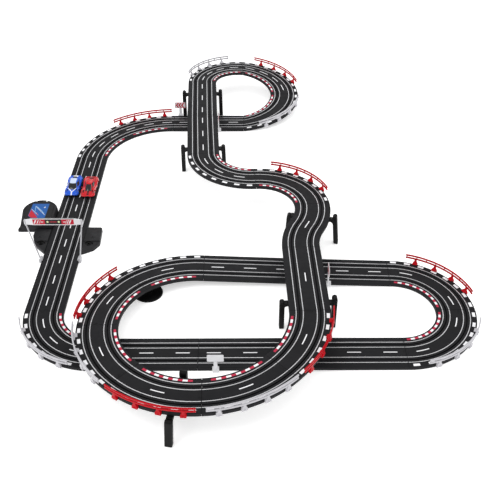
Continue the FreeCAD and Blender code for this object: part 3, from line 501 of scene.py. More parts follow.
# ---- decks
GROOVE_WIDTH = RAIL_WIDTH + 0.16
GROOVE_DEPTH = 1.08
RAIL_END_GAP = 1.8
SLOT_WALL = 1.4
CHANNEL_LOW = 1.8
RIB_PITCH = 47.0
RIB_THICKNESS = 1.6
END_EASE = 0.6
RIB_LOW = 3.2
BOSS_RADIUS = 7.0
LIP_REACH = 4.0
LIP_ROOT = 5.0
LIP_HEIGHTS = (5.8, 7.2)
TONGUE_HALF_WIDTH = 9.0
EDGE_RADIUS = 1.4
RAIL_EASE = 0.15
SLOT_EASE = 0.5


def rounded_notch(centre, width, depth, ease):
    """Outline points of a notch whose top corners are eased."""
    left, right = centre - width / 2, centre + width / 2
    floor = DECK_HEIGHT - depth
    return [(left - ease, DECK_HEIGHT), (left, DECK_HEIGHT - ease), (left, floor),
            (right, floor), (right, DECK_HEIGHT - ease), (right + ease, DECK_HEIGHT)]


def edge_round(offset, side):
    """Points round a deck's top outer edge; side is +1 at the lower offset, -1 at the higher."""
    points = arc((offset + side * EDGE_RADIUS, DECK_HEIGHT - EDGE_RADIUS), EDGE_RADIUS, 90 + side * 90, 90, 4)
    return points if side > 0 else points[::-1]


def deck_outline():
    half = DECK_WIDTH / 2
    under = DECK_HEIGHT - DECK_SKIN
    channel = SLOT_WIDTH / 2 + SLOT_WALL
    outline = [(-half, 0.0)] + edge_round(-half, 1)
    for lane in (-LANE_OFFSET, LANE_OFFSET):
        outline += rounded_notch(lane - RAIL_OFFSET, GROOVE_WIDTH, GROOVE_DEPTH, RAIL_EASE)
        outline += rounded_notch(lane, SLOT_WIDTH, SLOT_DEPTH, SLOT_EASE)
        outline += rounded_notch(lane + RAIL_OFFSET, GROOVE_WIDTH, GROOVE_DEPTH, RAIL_EASE)
    outline += edge_round(half, -1) + [(half, 0.0), (half - SKIRT, 0.0), (half - SKIRT, under)]
    for lane in (LANE_OFFSET, -LANE_OFFSET):
        outline += [(lane + channel, under), (lane + channel, CHANNEL_LOW),
                    (lane - channel, CHANNEL_LOW), (lane - channel, under)]
    return outline + [(-half + SKIRT, under), (-half + SKIRT, 0.0)]


def deck_bays():
    """Spans of offset under the skin, between the skirts and the slot channels."""
    channel = SLOT_WIDTH / 2 + SLOT_WALL - 0.1
    half = DECK_WIDTH / 2 - SKIRT + 0.2
    return ((-half, -LANE_OFFSET - channel), (-LANE_OFFSET + channel, LANE_OFFSET - channel),
            (LANE_OFFSET + channel, half))


def deck_ribs(builder, piece):
    """Cross ribs under the skin and the round boss in the middle."""
    under = DECK_HEIGHT - DECK_SKIN
    count = max(2, round(piece.length / RIB_PITCH))
    for k in range(1, count):
        for low, high in deck_bays():
            builder.slab(piece, rectangle(low, high, RIB_LOW, under + 0.6), piece.length * k / count,
                         RIB_THICKNESS)
    centre = piece.point(piece.length / 2, 0, 0)
    builder.rod(centre, centre + UP * ((under + 1) * MM), BOSS_RADIUS, 24)


def joint_lips(builder, piece):
    """Lips and a hooked tongue at the far end, which reach under the next piece."""
    end = piece.length
    for low, high in deck_bays():
        builder.sweep(piece, rectangle(low + 0.6, high - 0.6, *LIP_HEIGHTS), end - LIP_ROOT, end + LIP_REACH)
    base = piece.point(end, -TONGUE_HALF_WIDTH, 0)
    profile = [(-10, 2.6), (11, 2.6), (11, 5), (-0.4, 5), (-0.4, 7.9), (-10, 7.9)]
    corners = [base + (piece.tangent(end) * reach + UP * height) * MM for reach, height in profile]
    builder.prism(corners, piece.across(end) * (2 * TONGUE_HALF_WIDTH * MM))


def build_decks():
    outline = deck_outline()
    pieces = iter(PIECES)
    for name, shapes in SECTIONS:
        builder = Builder()
        for _ in shapes:
            piece = next(pieces)
            builder.fill(piece, outline, END_EASE)
            deck_ribs(builder, piece)
            joint_lips(builder, piece)
        builder.build("deck_" + name, [TRACK], stands_for=["track_" + name])


def build_rails():
    top = DECK_HEIGHT + RAIL_PROUD
    half = RAIL_WIDTH / 2
    section = [(-half, top - 1.3), (half, top - 1.3), (half, top - 0.2), (half - 0.3, top),
               (0.3 - half, top), (-half, top - 0.2)]
    centres = [lane + side * RAIL_OFFSET for lane in (-LANE_OFFSET, LANE_OFFSET) for side in (-1, 1)]
    builder = Builder()
    for piece in PIECES:
        for centre in centres:
            outline = [(centre + offset, height) for offset, height in section]
            builder.sweep(piece, outline, *piece.limits(centre, RAIL_END_GAP))
    builder.build("conductor_rails", [RAIL],
                  stands_for=["conductor_rails_floor", "conductor_rails_raised"])


# Line where two decks' tongues lock together, as (along, offset) from the middle of the joint.
TONGUE_LINE = ((0.0, 14.0), (0.0, 8.0), (-6.5, 7.2), (-6.5, 1.6), (6.5, -1.6), (6.5, -7.2), (0.0, -8.0),
               (0.0, -14.0))
# Painted shade: a dark strip along that line stands in for the shaded gap between the tongues.
TONGUE_SHADOW_WIDTH = 0.8
TONGUE_SHADOW_LOW = DECK_HEIGHT - 0.3
TONGUE_SHADOW_DEPTH = 0.34


def build_tongue_shadow_lines():
    """Painted shade: a dark hooked strip along the joint line in the middle of every joint, for the shade in
    the gap where the tongues lock.
    """
    builder = Builder()
    half = TONGUE_SHADOW_WIDTH / 2
    for piece in PIECES:
        for start, end in zip(TONGUE_LINE, TONGUE_LINE[1:]):
            start, end = Vector(start), Vector(end)
            way = (end - start).normalized() * half
            side = way.orthogonal()
            corners = (start - way - side, end + way - side, end + way + side, start - way + side)
            builder.prism([piece.point(*p, TONGUE_SHADOW_LOW) for p in corners], UP * (TONGUE_SHADOW_DEPTH * MM))
    # Dark socket plastic paints the shade in the joint gap.
    builder.build("joint_tongue_shadow_lines", [SOCKET])


# ---- printed markings
PRINT_LOW = 9.9
PRINT_TOP = 10.08
DASH_LENGTH = 38.0
DASH_WIDTH = 3.0
DASH_PITCH = 98.8
BLOCK_OFFSET = 48.5
BLOCK_WIDTH = 8.5
CURB_WIDTH = 6.5
S_BEND_START = 17
BLOCK_SHARE = 0.42
# Dashes on the centre line of some pieces, as fractions of their length.
DASHES = {3: (0.2, 0.5, 0.8), 7: (0.15, 0.5, 0.85), 8: (0.2, 0.55, 0.88), 11: (0.16, 0.4, 0.64, 0.88),
          12: (0.14, 0.38, 0.62, 0.86), 15: (0.2, 0.5, 0.8), 19: (0.5,), 28: (0.2, 0.85), 29: (0.2, 0.82)}
# Outer blocks, kerb blocks and the kerb's margin as a share of the length, on tight and wide curves.
CURVE_MARKS = {TIGHT_RADIUS: (8, 15, 0.055), WIDE_RADIUS: (6, 11, 0.12)}


def mark(builder, piece, start, end, centre, width):
    """One printed patch between two distances along, round an offset."""
    outline = rectangle(centre - width / 2, centre + width / 2, PRINT_LOW, PRINT_TOP)
    builder.sweep(piece, outline, start, end)


def dash_places(piece):
    if piece.index in DASHES:
        return [piece.length * fraction for fraction in DASHES[piece.index]]
    if not piece.curved:
        return [piece.length / 2 + k * DASH_PITCH for k in (-1, 0, 1)]
    return [piece.length / 2] if piece.radius == WIDE_RADIUS else []


def joint_dash(builder, before, after):
    """One dash printed half on each of two pieces."""
    half = DASH_LENGTH / 2
    mark(builder, before, before.length - half, before.length - SEAM_GAP / 2, 0.0, DASH_WIDTH)
    mark(builder, after, SEAM_GAP / 2, half, 0.0, DASH_WIDTH)


def curve_blocks(white, red, piece):
    """White blocks round the outside of a curve, and a red and white kerb round the inside."""
    blocks, kerbs, margin = CURVE_MARKS[piece.radius]
    centre = piece.outside * BLOCK_OFFSET
    pitch = piece.length / blocks
    half = pitch * BLOCK_SHARE / 2
    for k in range(blocks):
        middle = pitch * (k + 0.5)
        mark(white, piece, middle - half, middle + half, centre, BLOCK_WIDTH)
    margin *= piece.length
    pitch = (piece.length - 2 * margin) / kerbs
    for k in range(kerbs):
        start = margin + pitch * k
        mark(white if k % 2 else red, piece, start, start + pitch, -centre, CURB_WIDTH)


def build_markings():
    white = Builder()
    red = Builder()
    half = DASH_LENGTH / 2
    for piece in PIECES:
        for middle in dash_places(piece):
            mark(white, piece, middle - half, middle + half, 0.0, DASH_WIDTH)
        if piece.radius in CURVE_MARKS:
            curve_blocks(white, red, piece)
    joint_dash(white, *PIECES[S_BEND_START:S_BEND_START + 2])
    white.build("print_white", [INK_WHITE])
    red.build("print_red", [INK_RED])


# ---- supports
POST_OFFSET = 73.0
POST_DEPTH = 14.5
POST_WIDTH = 20.0
CROSSBAR_HEIGHT = 8.0
CROSSBAR_WIDTH = 17.0
CROSSBAR_OVERLAP = 1.5
CROSSBAR_GAP = 0.1
FILLET = 9.0
PILLAR_FOOT_RADIUS = 43.5


def arc(centre, radius, start, end, steps=8):
    """Points on an arc, angles in degrees."""
    angles = [math.radians(start + (end - start) * k / steps) for k in range(steps + 1)]
    return [(centre[0] + radius * math.cos(a), centre[1] + radius * math.sin(a)) for a in angles]


def post_outline(side, level, above, splay):
    """Post with a round head and a foot set outwards by the splay."""
    radius = POST_DEPTH / 2
    head = arc((POST_OFFSET, above - radius), radius, 0, 180, 12)
    foot = [(POST_OFFSET + splay - radius, -level), (POST_OFFSET + splay + radius, -level)]
    return [(side * offset, height) for offset, height in foot + head]


def crossbar_outline(top):
    """Bar under the deck whose ends curve down to the posts."""
    reach = POST_OFFSET - POST_DEPTH / 2 + CROSSBAR_OVERLAP
    low = top - CROSSBAR_HEIGHT
    right = arc((reach - FILLET, low - FILLET), FILLET, 0, 90, 6)
    return [(-reach, top), (reach, top)] + right + [(-offset, height) for offset, height in right[::-1]]


def build_supports():
    posts = Builder()
    bars = Builder()
    for index, along, right_post, left_post in SUPPORTS:
        piece = PIECES[index]
        level = piece.point(along, 0, 0).z / MM
        for side, shape in ((-1, right_post), (1, left_post)):
            posts.slab(piece, post_outline(side, level, *shape), along, POST_WIDTH)
        drop = abs(piece.rise) / piece.length * CROSSBAR_WIDTH / 2
        bars.slab(piece, crossbar_outline(-CROSSBAR_GAP - drop), along, CROSSBAR_WIDTH)
    posts.build("support_post_set", [SUPPORT], 2.2, 3, stands_for=["support_posts"])
    bars.build("support_crossbar_set", [SUPPORT], 1.0, stands_for=["support_crossbars"])


def build_pillar():
    """Round foot and column under the big loop."""
    index, along, offset = PILLAR_PLACE
    place = PIECES[index].point(along, offset, 0)
    floor = Vector((place.x, place.y, 0))
    base, top = [corner[2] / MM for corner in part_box("pillar_column")]
    edge = PILLAR_FOOT_RADIUS
    foot = [(0, 0.5), (0, edge), (1.2, edge), (3.0, edge - 0.6), (4.4, edge - 1.8), (5.0, edge - 3.6),
            (5.0, 17), (5.4, 15), (6.6, 13.4), (9.0, 13), (9.0, 0.5)]
    column = [(base, 0.5), (base, 9), (top - 12, 9), (top - 8, 9.6), (top - 4.4, 12), (top - 3, 15),
              (top - 0.6, 15), (top, 14.4), (top, 0.5)]
    for name, profile, sides, node in (("pillar_base", foot, 72, "pillar_foot"),
                                       ("pillar_post", column, 48, "pillar_column")):
        builder = Builder()
        builder.lathe(floor, UP, profile, sides)
        builder.build(name, [SUPPORT], stands_for=[node])


# ---- fences
FENCE_OFFSET = 62.5
FENCE_LOW = 22.5
FENCE_HIGH = 31.8
FENCE_BAR = 3.6
FENCE_BAR_TALL = 5.6
FENCE_BAYS = 8
FENCE_FEET = 4
FENCE_RUNG = 2.4
FENCE_END = 3.0


def rounded_bar(offset, height, width, tall, ease):
    """Eight-sided outline of a bar from its lower centre."""
    half = width / 2
    return [(offset - half, height + ease), (offset - half + ease, height), (offset + half - ease, height),
            (offset + half, height + ease), (offset + half, height + tall - ease),
            (offset + half - ease, height + tall), (offset - half + ease, height + tall),
            (offset - half, height + tall - ease)]


def fence_span(piece):
    if piece.radius == TIGHT_RADIUS:
        return piece.length * 15 / 90, piece.length * 77 / 90
    return piece.length * 2 / 45, piece.length * 43 / 45


def foot_ring(piece, side, along, inner, outer, half):
    """Four corners of a foot's section: two (offset, height) points, spread along the track."""
    edge = DECK_WIDTH / 2
    half *= piece.radius / (piece.radius + edge)
    return [piece.point(along + way * half, side * offset, height)
            for way, (offset, height) in ((-1, inner), (1, inner), (1, outer), (-1, outer))]


def fence_foot(builder, piece, side, along):
    """Clip hooked over the deck's edge, narrowing to a stem that leans out to the bars."""
    edge = DECK_WIDTH / 2
    skirt = (((edge + 0.35, 1.5), (edge + 7, 1.5), 7.6), ((edge + 0.35, 5), (edge + 8, 5), 8.0),
             ((edge + 0.35, 9), (edge + 7.6, 10), 7.6), ((edge - 0.5, 13), (edge + 6.6, 13.6), 6.2),
             ((edge + 1.8, 16.5), (edge + 6.6, 16.5), 4.2), ((edge + 3.6, 19.5), (edge + 7.4, 19.5), 3.4),
             ((FENCE_OFFSET - 1.5, FENCE_LOW + 1), (FENCE_OFFSET + 1.5, FENCE_LOW + 1), 3.2))
    hook = (((edge - 6, 10.35), (edge - 6, 11.8), 7.6), ((edge - 2, 10.35), (edge - 2, 14), 7.2),
            ((edge + 2.2, 10.4), (edge + 2.2, 16.4), 5.4))
    for stations in (skirt, hook):
        builder.loft([foot_ring(piece, side, along, *station) for station in stations])
    boss = [piece.point(along, side * (edge + reach), 6.4) for reach in (6.5, 8.9)]
    builder.rod(*boss, 2.6, 20)


def fence(bars, feet, piece):
    start, end = fence_span(piece)
    centre = piece.outside * FENCE_OFFSET
    for height in (FENCE_LOW, FENCE_HIGH):
        bars.sweep(piece, rounded_bar(centre, height, FENCE_BAR, FENCE_BAR_TALL, 0.9), start, end)
    rung = rounded_bar(centre, FENCE_LOW + 1, 2.0, FENCE_HIGH - FENCE_LOW + 2, 0.3)
    for k in range(FENCE_BAYS + 1):
        along = start + FENCE_END + (end - start - 2 * FENCE_END) * k / FENCE_BAYS
        bars.slab(piece, rung, along, FENCE_RUNG)
    for k in range(FENCE_FEET):
        fence_foot(feet, piece, piece.outside, start + (end - start) * (k + 0.5) / FENCE_FEET)


def build_fences():
    for colour, indices, material in (("red", RED_FENCE_PIECES, FENCE_RED),
                                      ("white", WHITE_FENCE_PIECES, FENCE_WHITE)):
        bars = Builder()
        feet = Builder()
        for index in indices:
            fence(bars, feet, PIECES[index])
        name = "fences_" + colour
        bars.build(name + "_bars", [material], stands_for=[name])
        feet.build(name + "_feet", [material], 0.7, sharp=50)


# ---- gantry and signs
GANTRY_PIECE = 4
GANTRY_ALONG = 240.0
GANTRY_TOP_OFFSET = 84.0
BANNER_BOTTOM = 143.0
BANNER_TOP = 166.0
BANNER_HALF_WIDTH = 88.5
BANNER_THICKNESS = 2.4
POLE_OFFSET = 62.0
POLE_FOOT = 12.0
POLE_RADIUS = 2.0
STEM_HALF_WIDTH = 5.4
CLIP_LENGTH = 18.0
SIGN_HALF_WIDTH = 22.0
SIGN_THICKNESS = 1.8
# Each sign: piece, distance along, side (+1 left), stands along the track?, bottom, top, arrows?
SIGNS = ((1, 233.0, 1, True, 40.0, 64.0, False), (9, 24.0, 1, True, 42.0, 67.0, True),
         (9, 183.0, -1, False, 52.0, 76.0, True), (27, 92.0, -1, False, 52.0, 76.0, True))
PRINT_LIFT = 0.18
BANNER_ARM = 64.0
BANNER_RAIL = 0.9
BANNER_MARGIN = 2.4
# The red fields reach from this far to this far from the middle.
BANNER_RED = (25.0, 62.0)
BAR_LEAN = 6.0
POLE_TIP_RADII = (2.6, 2.2)
CHEVRON_PITCH = 10.5
CHEVRON_WIDTH = 6.6
STEM_THICKNESS = 4.0


class Board:
    """Upright board: places points from (right, up) on either of its faces."""

    def __init__(self, centre, right, thickness):
        self.centre = centre
        self.right = right
        self.normal = right.cross(UP)
        self.face = thickness / 2

    def at(self, right, up, out=0.0):
        return self.centre + (self.right * right + UP * up + self.normal * out) * MM

    def panel(self, builder, points, out_from, out_to, slot=0):
        corners = [self.at(x, y, out_from) for x, y in points]
        builder.prism(corners, self.normal * ((out_to - out_from) * MM), slot)

    def both_faces(self, builder, points, level, slot):
        """The same print on both faces; level orders overlapping prints."""
        top = self.face + PRINT_LIFT * level
        self.panel(builder, points, self.face - 0.1, top, slot)
        self.panel(builder, points, -top, 0.1 - self.face, slot)


def rectangle(left, right, low, high):
    return [(left, low), (right, low), (right, high), (left, high)]


def rounded_rectangle(left, right, low, high, radius):
    points = []
    for x, y, turn in ((right - radius, high - radius, 0), (left + radius, high - radius, 90),
                       (left + radius, low + radius, 180), (right - radius, low + radius, 270)):
        points += arc((x, y), radius, turn, turn + 90, 4)
    return points


def span(side, near, far):
    """Distances from the middle on one side, lower first."""
    return sorted((side * near, side * far))


def edge_clip(builder, piece, along, side, slot):
    edge = DECK_WIDTH / 2
    outline = [(edge + 0.3, 1), (edge + 9, 1), (edge + 9, 12), (edge + 5, 18), (edge + 1, 18),
               (edge - 3, 12.5), (edge - 3, 10.3), (edge + 0.3, 10.3)]
    outline = [(side * offset, height) for offset, height in outline]
    builder.sweep(piece, outline, along - CLIP_LENGTH / 2, along + CLIP_LENGTH / 2, slot)


def gantry_banner(board, banner):
    """Board with tapered arms, red fields with slanted bars, and a black middle with two dots."""
    half, arm = BANNER_HALF_WIDTH, BANNER_ARM
    low, high = BANNER_BOTTOM, BANNER_TOP
    outline = [(-half, low + 3), (-half + 2, low + 1.5), (-arm, low), (arm, low), (half - 2, low + 1.5),
               (half, low + 3), (half, high - 6), (half - 2, high - 4.5), (arm, high), (-arm, high),
               (-half + 2, high - 4.5), (-half, high - 6)]
    board.panel(banner, outline, -board.face, board.face)
    for rail in (low + BANNER_RAIL, high - BANNER_RAIL):
        board.panel(banner, rectangle(-arm, arm, rail - BANNER_RAIL, rail + BANNER_RAIL), -1.9, 1.9)
    field = (low + BANNER_MARGIN, high - BANNER_MARGIN)
    for side in (-1, 1):
        board.both_faces(banner, rectangle(*span(side, *BANNER_RED), *field), 1, 1)
        for x, width in ((53, 4.5), (45.5, 2.6), (40, 1.2)):
            left, right = side * x - width, side * x
            points = [(left - BAR_LEAN / 2, low + 5), (right - BAR_LEAN / 2, low + 5),
                      (right + BAR_LEAN / 2, high - 5), (left + BAR_LEAN / 2, high - 5)]
            board.both_faces(banner, points, 1.6, 0)
        board.both_faces(banner, rectangle(*span(side, 30, 38), low + 9.8, low + 12.4), 1.6, 0)
    board.both_faces(banner, rectangle(-BANNER_RED[0], BANNER_RED[0], *field), 1, 2)
    for x in (-17, 17):
        board.both_faces(banner, arc((x, (low + high) / 2), 3.4, 0, 337.5, 15), 1.6, 3)
    for k in range(-2, 3):
        board.both_faces(banner, rectangle(k * 4.4 - 1.5, k * 4.4 + 1.5, low + 9.6, low + 13.4), 1.6, 1)


def build_gantry(clips, poles):
    piece = PIECES[GANTRY_PIECE]
    board = Board(piece.point(GANTRY_ALONG, 0, 0), -piece.across(GANTRY_ALONG), BANNER_THICKNESS)
    for side in (-1, 1):
        edge_clip(clips, piece, GANTRY_ALONG, side, 0)
        foot = piece.point(GANTRY_ALONG, side * POLE_OFFSET, POLE_FOOT)
        top = piece.point(GANTRY_ALONG, side * GANTRY_TOP_OFFSET, BANNER_BOTTOM + 1)
        poles.rod(foot, top, POLE_RADIUS + 0.3, end_radius=POLE_RADIUS)
        tip = [board.at(side * (GANTRY_TOP_OFFSET + reach), height)
               for reach, height in ((0.5, BANNER_BOTTOM - 2.5), (1.5, BANNER_TOP - 3))]
        poles.rod(*tip, POLE_TIP_RADII[0], end_radius=POLE_TIP_RADII[1])
    banner = Builder()
    gantry_banner(board, banner)
    banner.build("start_banner", [SIGN_WHITE, PRINT_RED, PRINT_BLACK, PRINT_PALE], 0.25,
                 stands_for=["gantry_banner"])


def chevron(x, middle, half_height, width):
    """Arrow head pointing to the lower side."""
    back = x + half_height * 0.8
    low, high = middle - half_height, middle + half_height
    return [(x, middle), (back, low), (back + width, low), (x + width, middle),
            (back + width, high), (back, high)]


def build_sign(boards, clips, poles, index, along, side, parallel, bottom, top, arrows):
    piece = PIECES[index]
    edge_clip(clips, piece, along, side, 1)
    right = piece.across(along)
    if parallel:
        right = piece.tangent(along) * math.copysign(1, piece.tangent(along).x)
    board = Board(piece.point(along, side * POLE_OFFSET, 0), right, SIGN_THICKNESS)
    stem = [(-STEM_HALF_WIDTH, POLE_FOOT), (STEM_HALF_WIDTH, POLE_FOOT), (STEM_HALF_WIDTH - 0.6, bottom + 1),
            (0.6 - STEM_HALF_WIDTH, bottom + 1)]
    board.panel(poles, stem, -STEM_THICKNESS / 2, STEM_THICKNESS / 2, 1)

    def plan(margin, radius):
        half = SIGN_HALF_WIDTH - margin
        return rounded_rectangle(-half, half, bottom + margin, top - margin, radius)
    board.panel(boards, plan(0, 3), -board.face, board.face)
    board.both_faces(boards, plan(2, 2), 2, 0)
    if arrows:
        board.both_faces(boards, plan(0.4, 2.7), 1, 1)
        for k in range(3):
            arrow = chevron(-SIGN_HALF_WIDTH + 3.6 + CHEVRON_PITCH * k, (bottom + top) / 2,
                            (top - bottom) / 2 - 2.4, CHEVRON_WIDTH)
            board.both_faces(boards, arrow, 2.8, 1)


def build_furniture():
    clips = Builder()
    poles = Builder()
    boards = Builder()
    build_gantry(clips, poles)
    for sign in SIGNS:
        build_sign(boards, clips, poles, *sign)
    boards.build("sign_panels", [SIGN_WHITE, PRINT_RED], 0.2, stands_for=["sign_boards"])
    whites = [POLE_WHITE, SIGN_WHITE]
    clips.build("pole_clips", whites, 1.2, 3, stands_for=["edge_clips"])
    poles.build("pole_rods", whites, 0.4, stands_for=["edge_poles"])


# ---- power console
DOME_CENTRE = (-115.5, 66.0)
DOME_RADIUS = 60.0
DOME_FRONT_LEFT = (-163.0, -26.0)
CONSOLE_SIDE = DECK_WIDTH / 2 + 0.3
CONSOLE_HEIGHT = 28.0
LAMP_PLACES = ((-135.0, 114.0), (-100.5, 112.5))
LABEL_LOW = CONSOLE_HEIGHT + 0.02
LABEL_TOP = CONSOLE_HEIGHT + 0.3
LABEL_PLAN = [(-88, 14), (-88, 97), (-144, 97), (-146, 26), (-132, 14)]
LEFT_WING_PLAN = [(-CONSOLE_SIDE, -149), (-CONSOLE_SIDE, -26.3), (-112, -26.3), (-112, -64), (-98, -107)]
RIGHT_WING_PLAN = [(CONSOLE_SIDE, -17), (CONSOLE_SIDE, -150), (94, -129), (111, -100), (107, -17)]
WING_HEIGHT = 14.0
WING_STEP_Y = -92.0
WING_STEP = 2.4
SOCKET_PLACES = ((-78.0, -104.0), (76.0, -106.0))
SCREW_PLACES = ((-87.0, -73.0), (84.0, -74.0))
FLANGE_PLAN = [(-58, -26.2), (-58, 20), (-166, 20), (-172, -26.2)]
HOOD_RADII = (14.0, 10.4)
# Turned parts, as (height, radius).
LAMP_PROFILE = [(24, 0.3), (24, 2.9), (28.2, 2.9), (28.6, 2.2), (28.8, 1.2), (28.85, 0.3)]
SCREW_PROFILE = [(10.6, 0.3), (10.6, 2.3), (11.6, 2.3), (12.1, 1.6), (12.3, 0.9), (11.5, 0.8), (11.5, 0.3)]


def inset(plan, distance):
    """Anticlockwise plan polygon moved inwards."""
    moved = []
    for k, corner in enumerate(plan):
        here = Vector(corner)
        before = here - Vector(plan[k - 1])
        after = Vector(plan[(k + 1) % len(plan)]) - here
        first = Vector((-before.y, before.x)).normalized()
        second = Vector((-after.y, after.x)).normalized()
        moved.append(here + (first + second) * (distance / (1 + first.dot(second))))
    return moved


def softened(plan, radius, steps=5):
    """Plan polygon with its corners rounded."""
    points = []
    for k, corner in enumerate(plan):
        here = Vector(corner)
        start = here + (Vector(plan[k - 1]) - here).normalized() * radius
        end = here + (Vector(plan[(k + 1) % len(plan)]) - here).normalized() * radius
        for step_index in range(steps + 1):
            t = step_index / steps
            points.append(start * (1 - t) ** 2 + here * (2 * t * (1 - t)) + end * t ** 2)
    return points


def stack(builder, plan_at, levels):
    """Solid through the outlines that plan_at gives for (height, inset) levels."""
    builder.loft([[floor_point(x, y, height) for x, y in plan_at(distance)] for height, distance in levels])


def soft_inset(plan, radius):
    """Outline of a plan moved inwards, with its corners rounded less the further in it is."""
    return lambda distance: softened(inset(plan, distance), radius - distance)


def plate(builder, plan, low, high, slot=0):
    builder.loft([[floor_point(x, y, z) for x, y in plan] for z in (low, high)], slot)


def dome_plan(distance):
    """Anticlockwise plan of the tall console, moved inwards: square front, round back."""
    x, y = DOME_CENTRE
    radius = DOME_RADIUS - distance
    right = -CONSOLE_SIDE - distance
    back = arc(DOME_CENTRE, radius, math.degrees(math.acos((right - x) / radius)), 180, 40)
    corner = max(6 - distance, 1.0)
    reach = corner + distance
    front_left = arc((DOME_FRONT_LEFT[0] + reach, DOME_FRONT_LEFT[1] + reach), corner, 188, 270, 5)
    return back + front_left + [(right, DOME_FRONT_LEFT[1] + distance)]


def build_dome():
    cover = Builder()
    levels = [(0, 0), (6, 0.2), (6.6, 0.9), (19, 1.5), (23, 2.2), (25.4, 3.4), (26.9, 5.0), (27.6, 6.6),
              (27.8, 8.0), (27.8, 11.0), (27.0, 11.4), (27.0, 12.4), (27.9, 12.9), (CONSOLE_HEIGHT, 14.0)]
    stack(cover, dome_plan, levels)
    stack(cover, soft_inset(FLANGE_PLAN, 5), [(0.2, 0), (7.0, 0.3), (8.4, 1.0), (9.0, 2.0)])
    cover.build("console_dome", [CONSOLE], sharp=40, stands_for=["console_cover"])
    lamps = Builder()
    for place in LAMP_PLACES:
        lamps.lathe(floor_point(*place), UP, LAMP_PROFILE, 24)
    lamps.build("console_lamp_lenses", [LENS], stands_for=["console_lamps"])


def band(start, end, width):
    """Straight strip between two plan points."""
    start, end = Vector(start), Vector(end)
    side = (end - start).orthogonal().normalized() * (width / 2)
    return [start - side, end - side, end + side, start + side]


def build_label():
    """Printed label: blue field, red corner, plain slanted lines and a small star."""
    label = Builder()
    plate(label, softened(LABEL_PLAN, 2.0), LABEL_LOW, LABEL_TOP)
    star = [(-99.5 + reach * math.cos(a), 76 + 1.7 * reach * math.sin(a)) for reach, a in
            ((r, math.radians(45 * k + 12)) for k, r in enumerate((4.2, 1.3) * 4))]
    for plan, lift, slot in (
            ([(-122, 32), (-142.5, 62), (-145, 27), (-132, 15), (-112, 15)], 0.08, 1),
            (band((-142.6, 66), (-113, 30), 1.3), 0.14, 2), (band((-131.5, 82), (-91, 31), 1.5), 0.14, 2),
            (band((-127.5, 82), (-96, 42), 1.2), 0.14, 3), (band((-131.5, 82), (-127, 47), 1.1), 0.16, 3),
            (band((-120, 44), (-115, 30), 2.0), 0.17, 1), (star, 0.14, 2)):
        plate(label, plan, LABEL_TOP - 0.1, LABEL_TOP + lift, slot)
    label.build("console_print", [PRINT_BLUE, PRINT_RED, SIGN_WHITE, PRINT_SKY],
                stands_for=["console_label"])


def build_wing(side, plan, socket, screw):
    """Low cover with a stepped front, a socket well and a screw recess."""
    top = WING_HEIGHT
    levels = [(0, 0), (top - 3.4, 0.3), (top - 1.6, 0.7), (top - 0.5, 1.3), (top, 2.2)]
    cover = Builder()
    stack(cover, soft_inset(plan, 6), levels)
    lowered = Builder()
    lowered.box(floor_point(min(p[0] for p in plan) - 5, -160, top - WING_STEP),
                floor_point(max(p[0] for p in plan) + 5, WING_STEP_Y, top + 2))
    well = Builder()
    profile = [(5, 0.2), (5, 7.3), (top - 4, 7.3), (top + 2, 9.5), (top + 2, 0.2)]
    well.lathe(floor_point(*socket), UP, profile, 36)
    recess = Builder()
    profile = [(top - 3, 0.2), (top - 3, 2.6), (top + 1, 2.8), (top + 1, 0.2)]
    recess.lathe(floor_point(*screw), UP, profile, 24)
    cover.build("socket_wing_" + side, [CONSOLE], 0.5, sharp=40,
                stands_for=["socket_cover_" + side], cutters=[lowered, well, recess])


def build_hoods_and_screws():
    """Half-round hood behind each socket, and the screws that hold the wings."""
    hoods = Builder()
    outer, inner = HOOD_RADII
    for place in SOCKET_PLACES:
        plan = arc(place, outer, 5, 165, 18) + arc(place, inner, 165, 5, 18)
        plate(hoods, plan, WING_HEIGHT - WING_STEP - 0.6, WING_HEIGHT + 0.9)
    hoods.build("socket_hoods", [SOCKET], 0.5)
    screws = Builder()
    for place in SCREW_PLACES:
        screws.lathe(floor_point(*place), UP, SCREW_PROFILE, 20)
    screws.build("wing_screws", [SCREW_STEEL])


def build_console():
    build_dome()
    build_label()
    build_wing("left", LEFT_WING_PLAN, SOCKET_PLACES[0], SCREW_PLACES[0])
    build_wing("right", RIGHT_WING_PLAN, SOCKET_PLACES[1], SCREW_PLACES[1])
    build_hoods_and_screws()


# ---- cars
FRONT_AXLE = 32.0
REAR_AXLE = -30.0
WHEEL_RADIUS = 9.0
WHEEL_TRACK = 19.0
TYRE_WIDTH = 8.0
HUB_RADIUS = 5.8
ARCH_RADIUS = 10.1
ARCH_REACH = 28.0
TYRE_RADIUS = WHEEL_RADIUS - 0.05
TREAD_GROOVES = (-1.6, 0.0, 1.6)
RIM_FACE = 2.6
# Turned parts of a rim, as (along, radius) from its face.
RIM_CAP = ((-0.1, 0.2), (-0.1, 1.5), (0.9, 1.5), (1.2, 0.9), (1.2, 0.2))
RIM_RING = ((-0.1, 4.5), (-0.1, 5.2), (1.3, 5.6), (1.5, 5.3), (1.3, 4.7))
SPOKES = 5
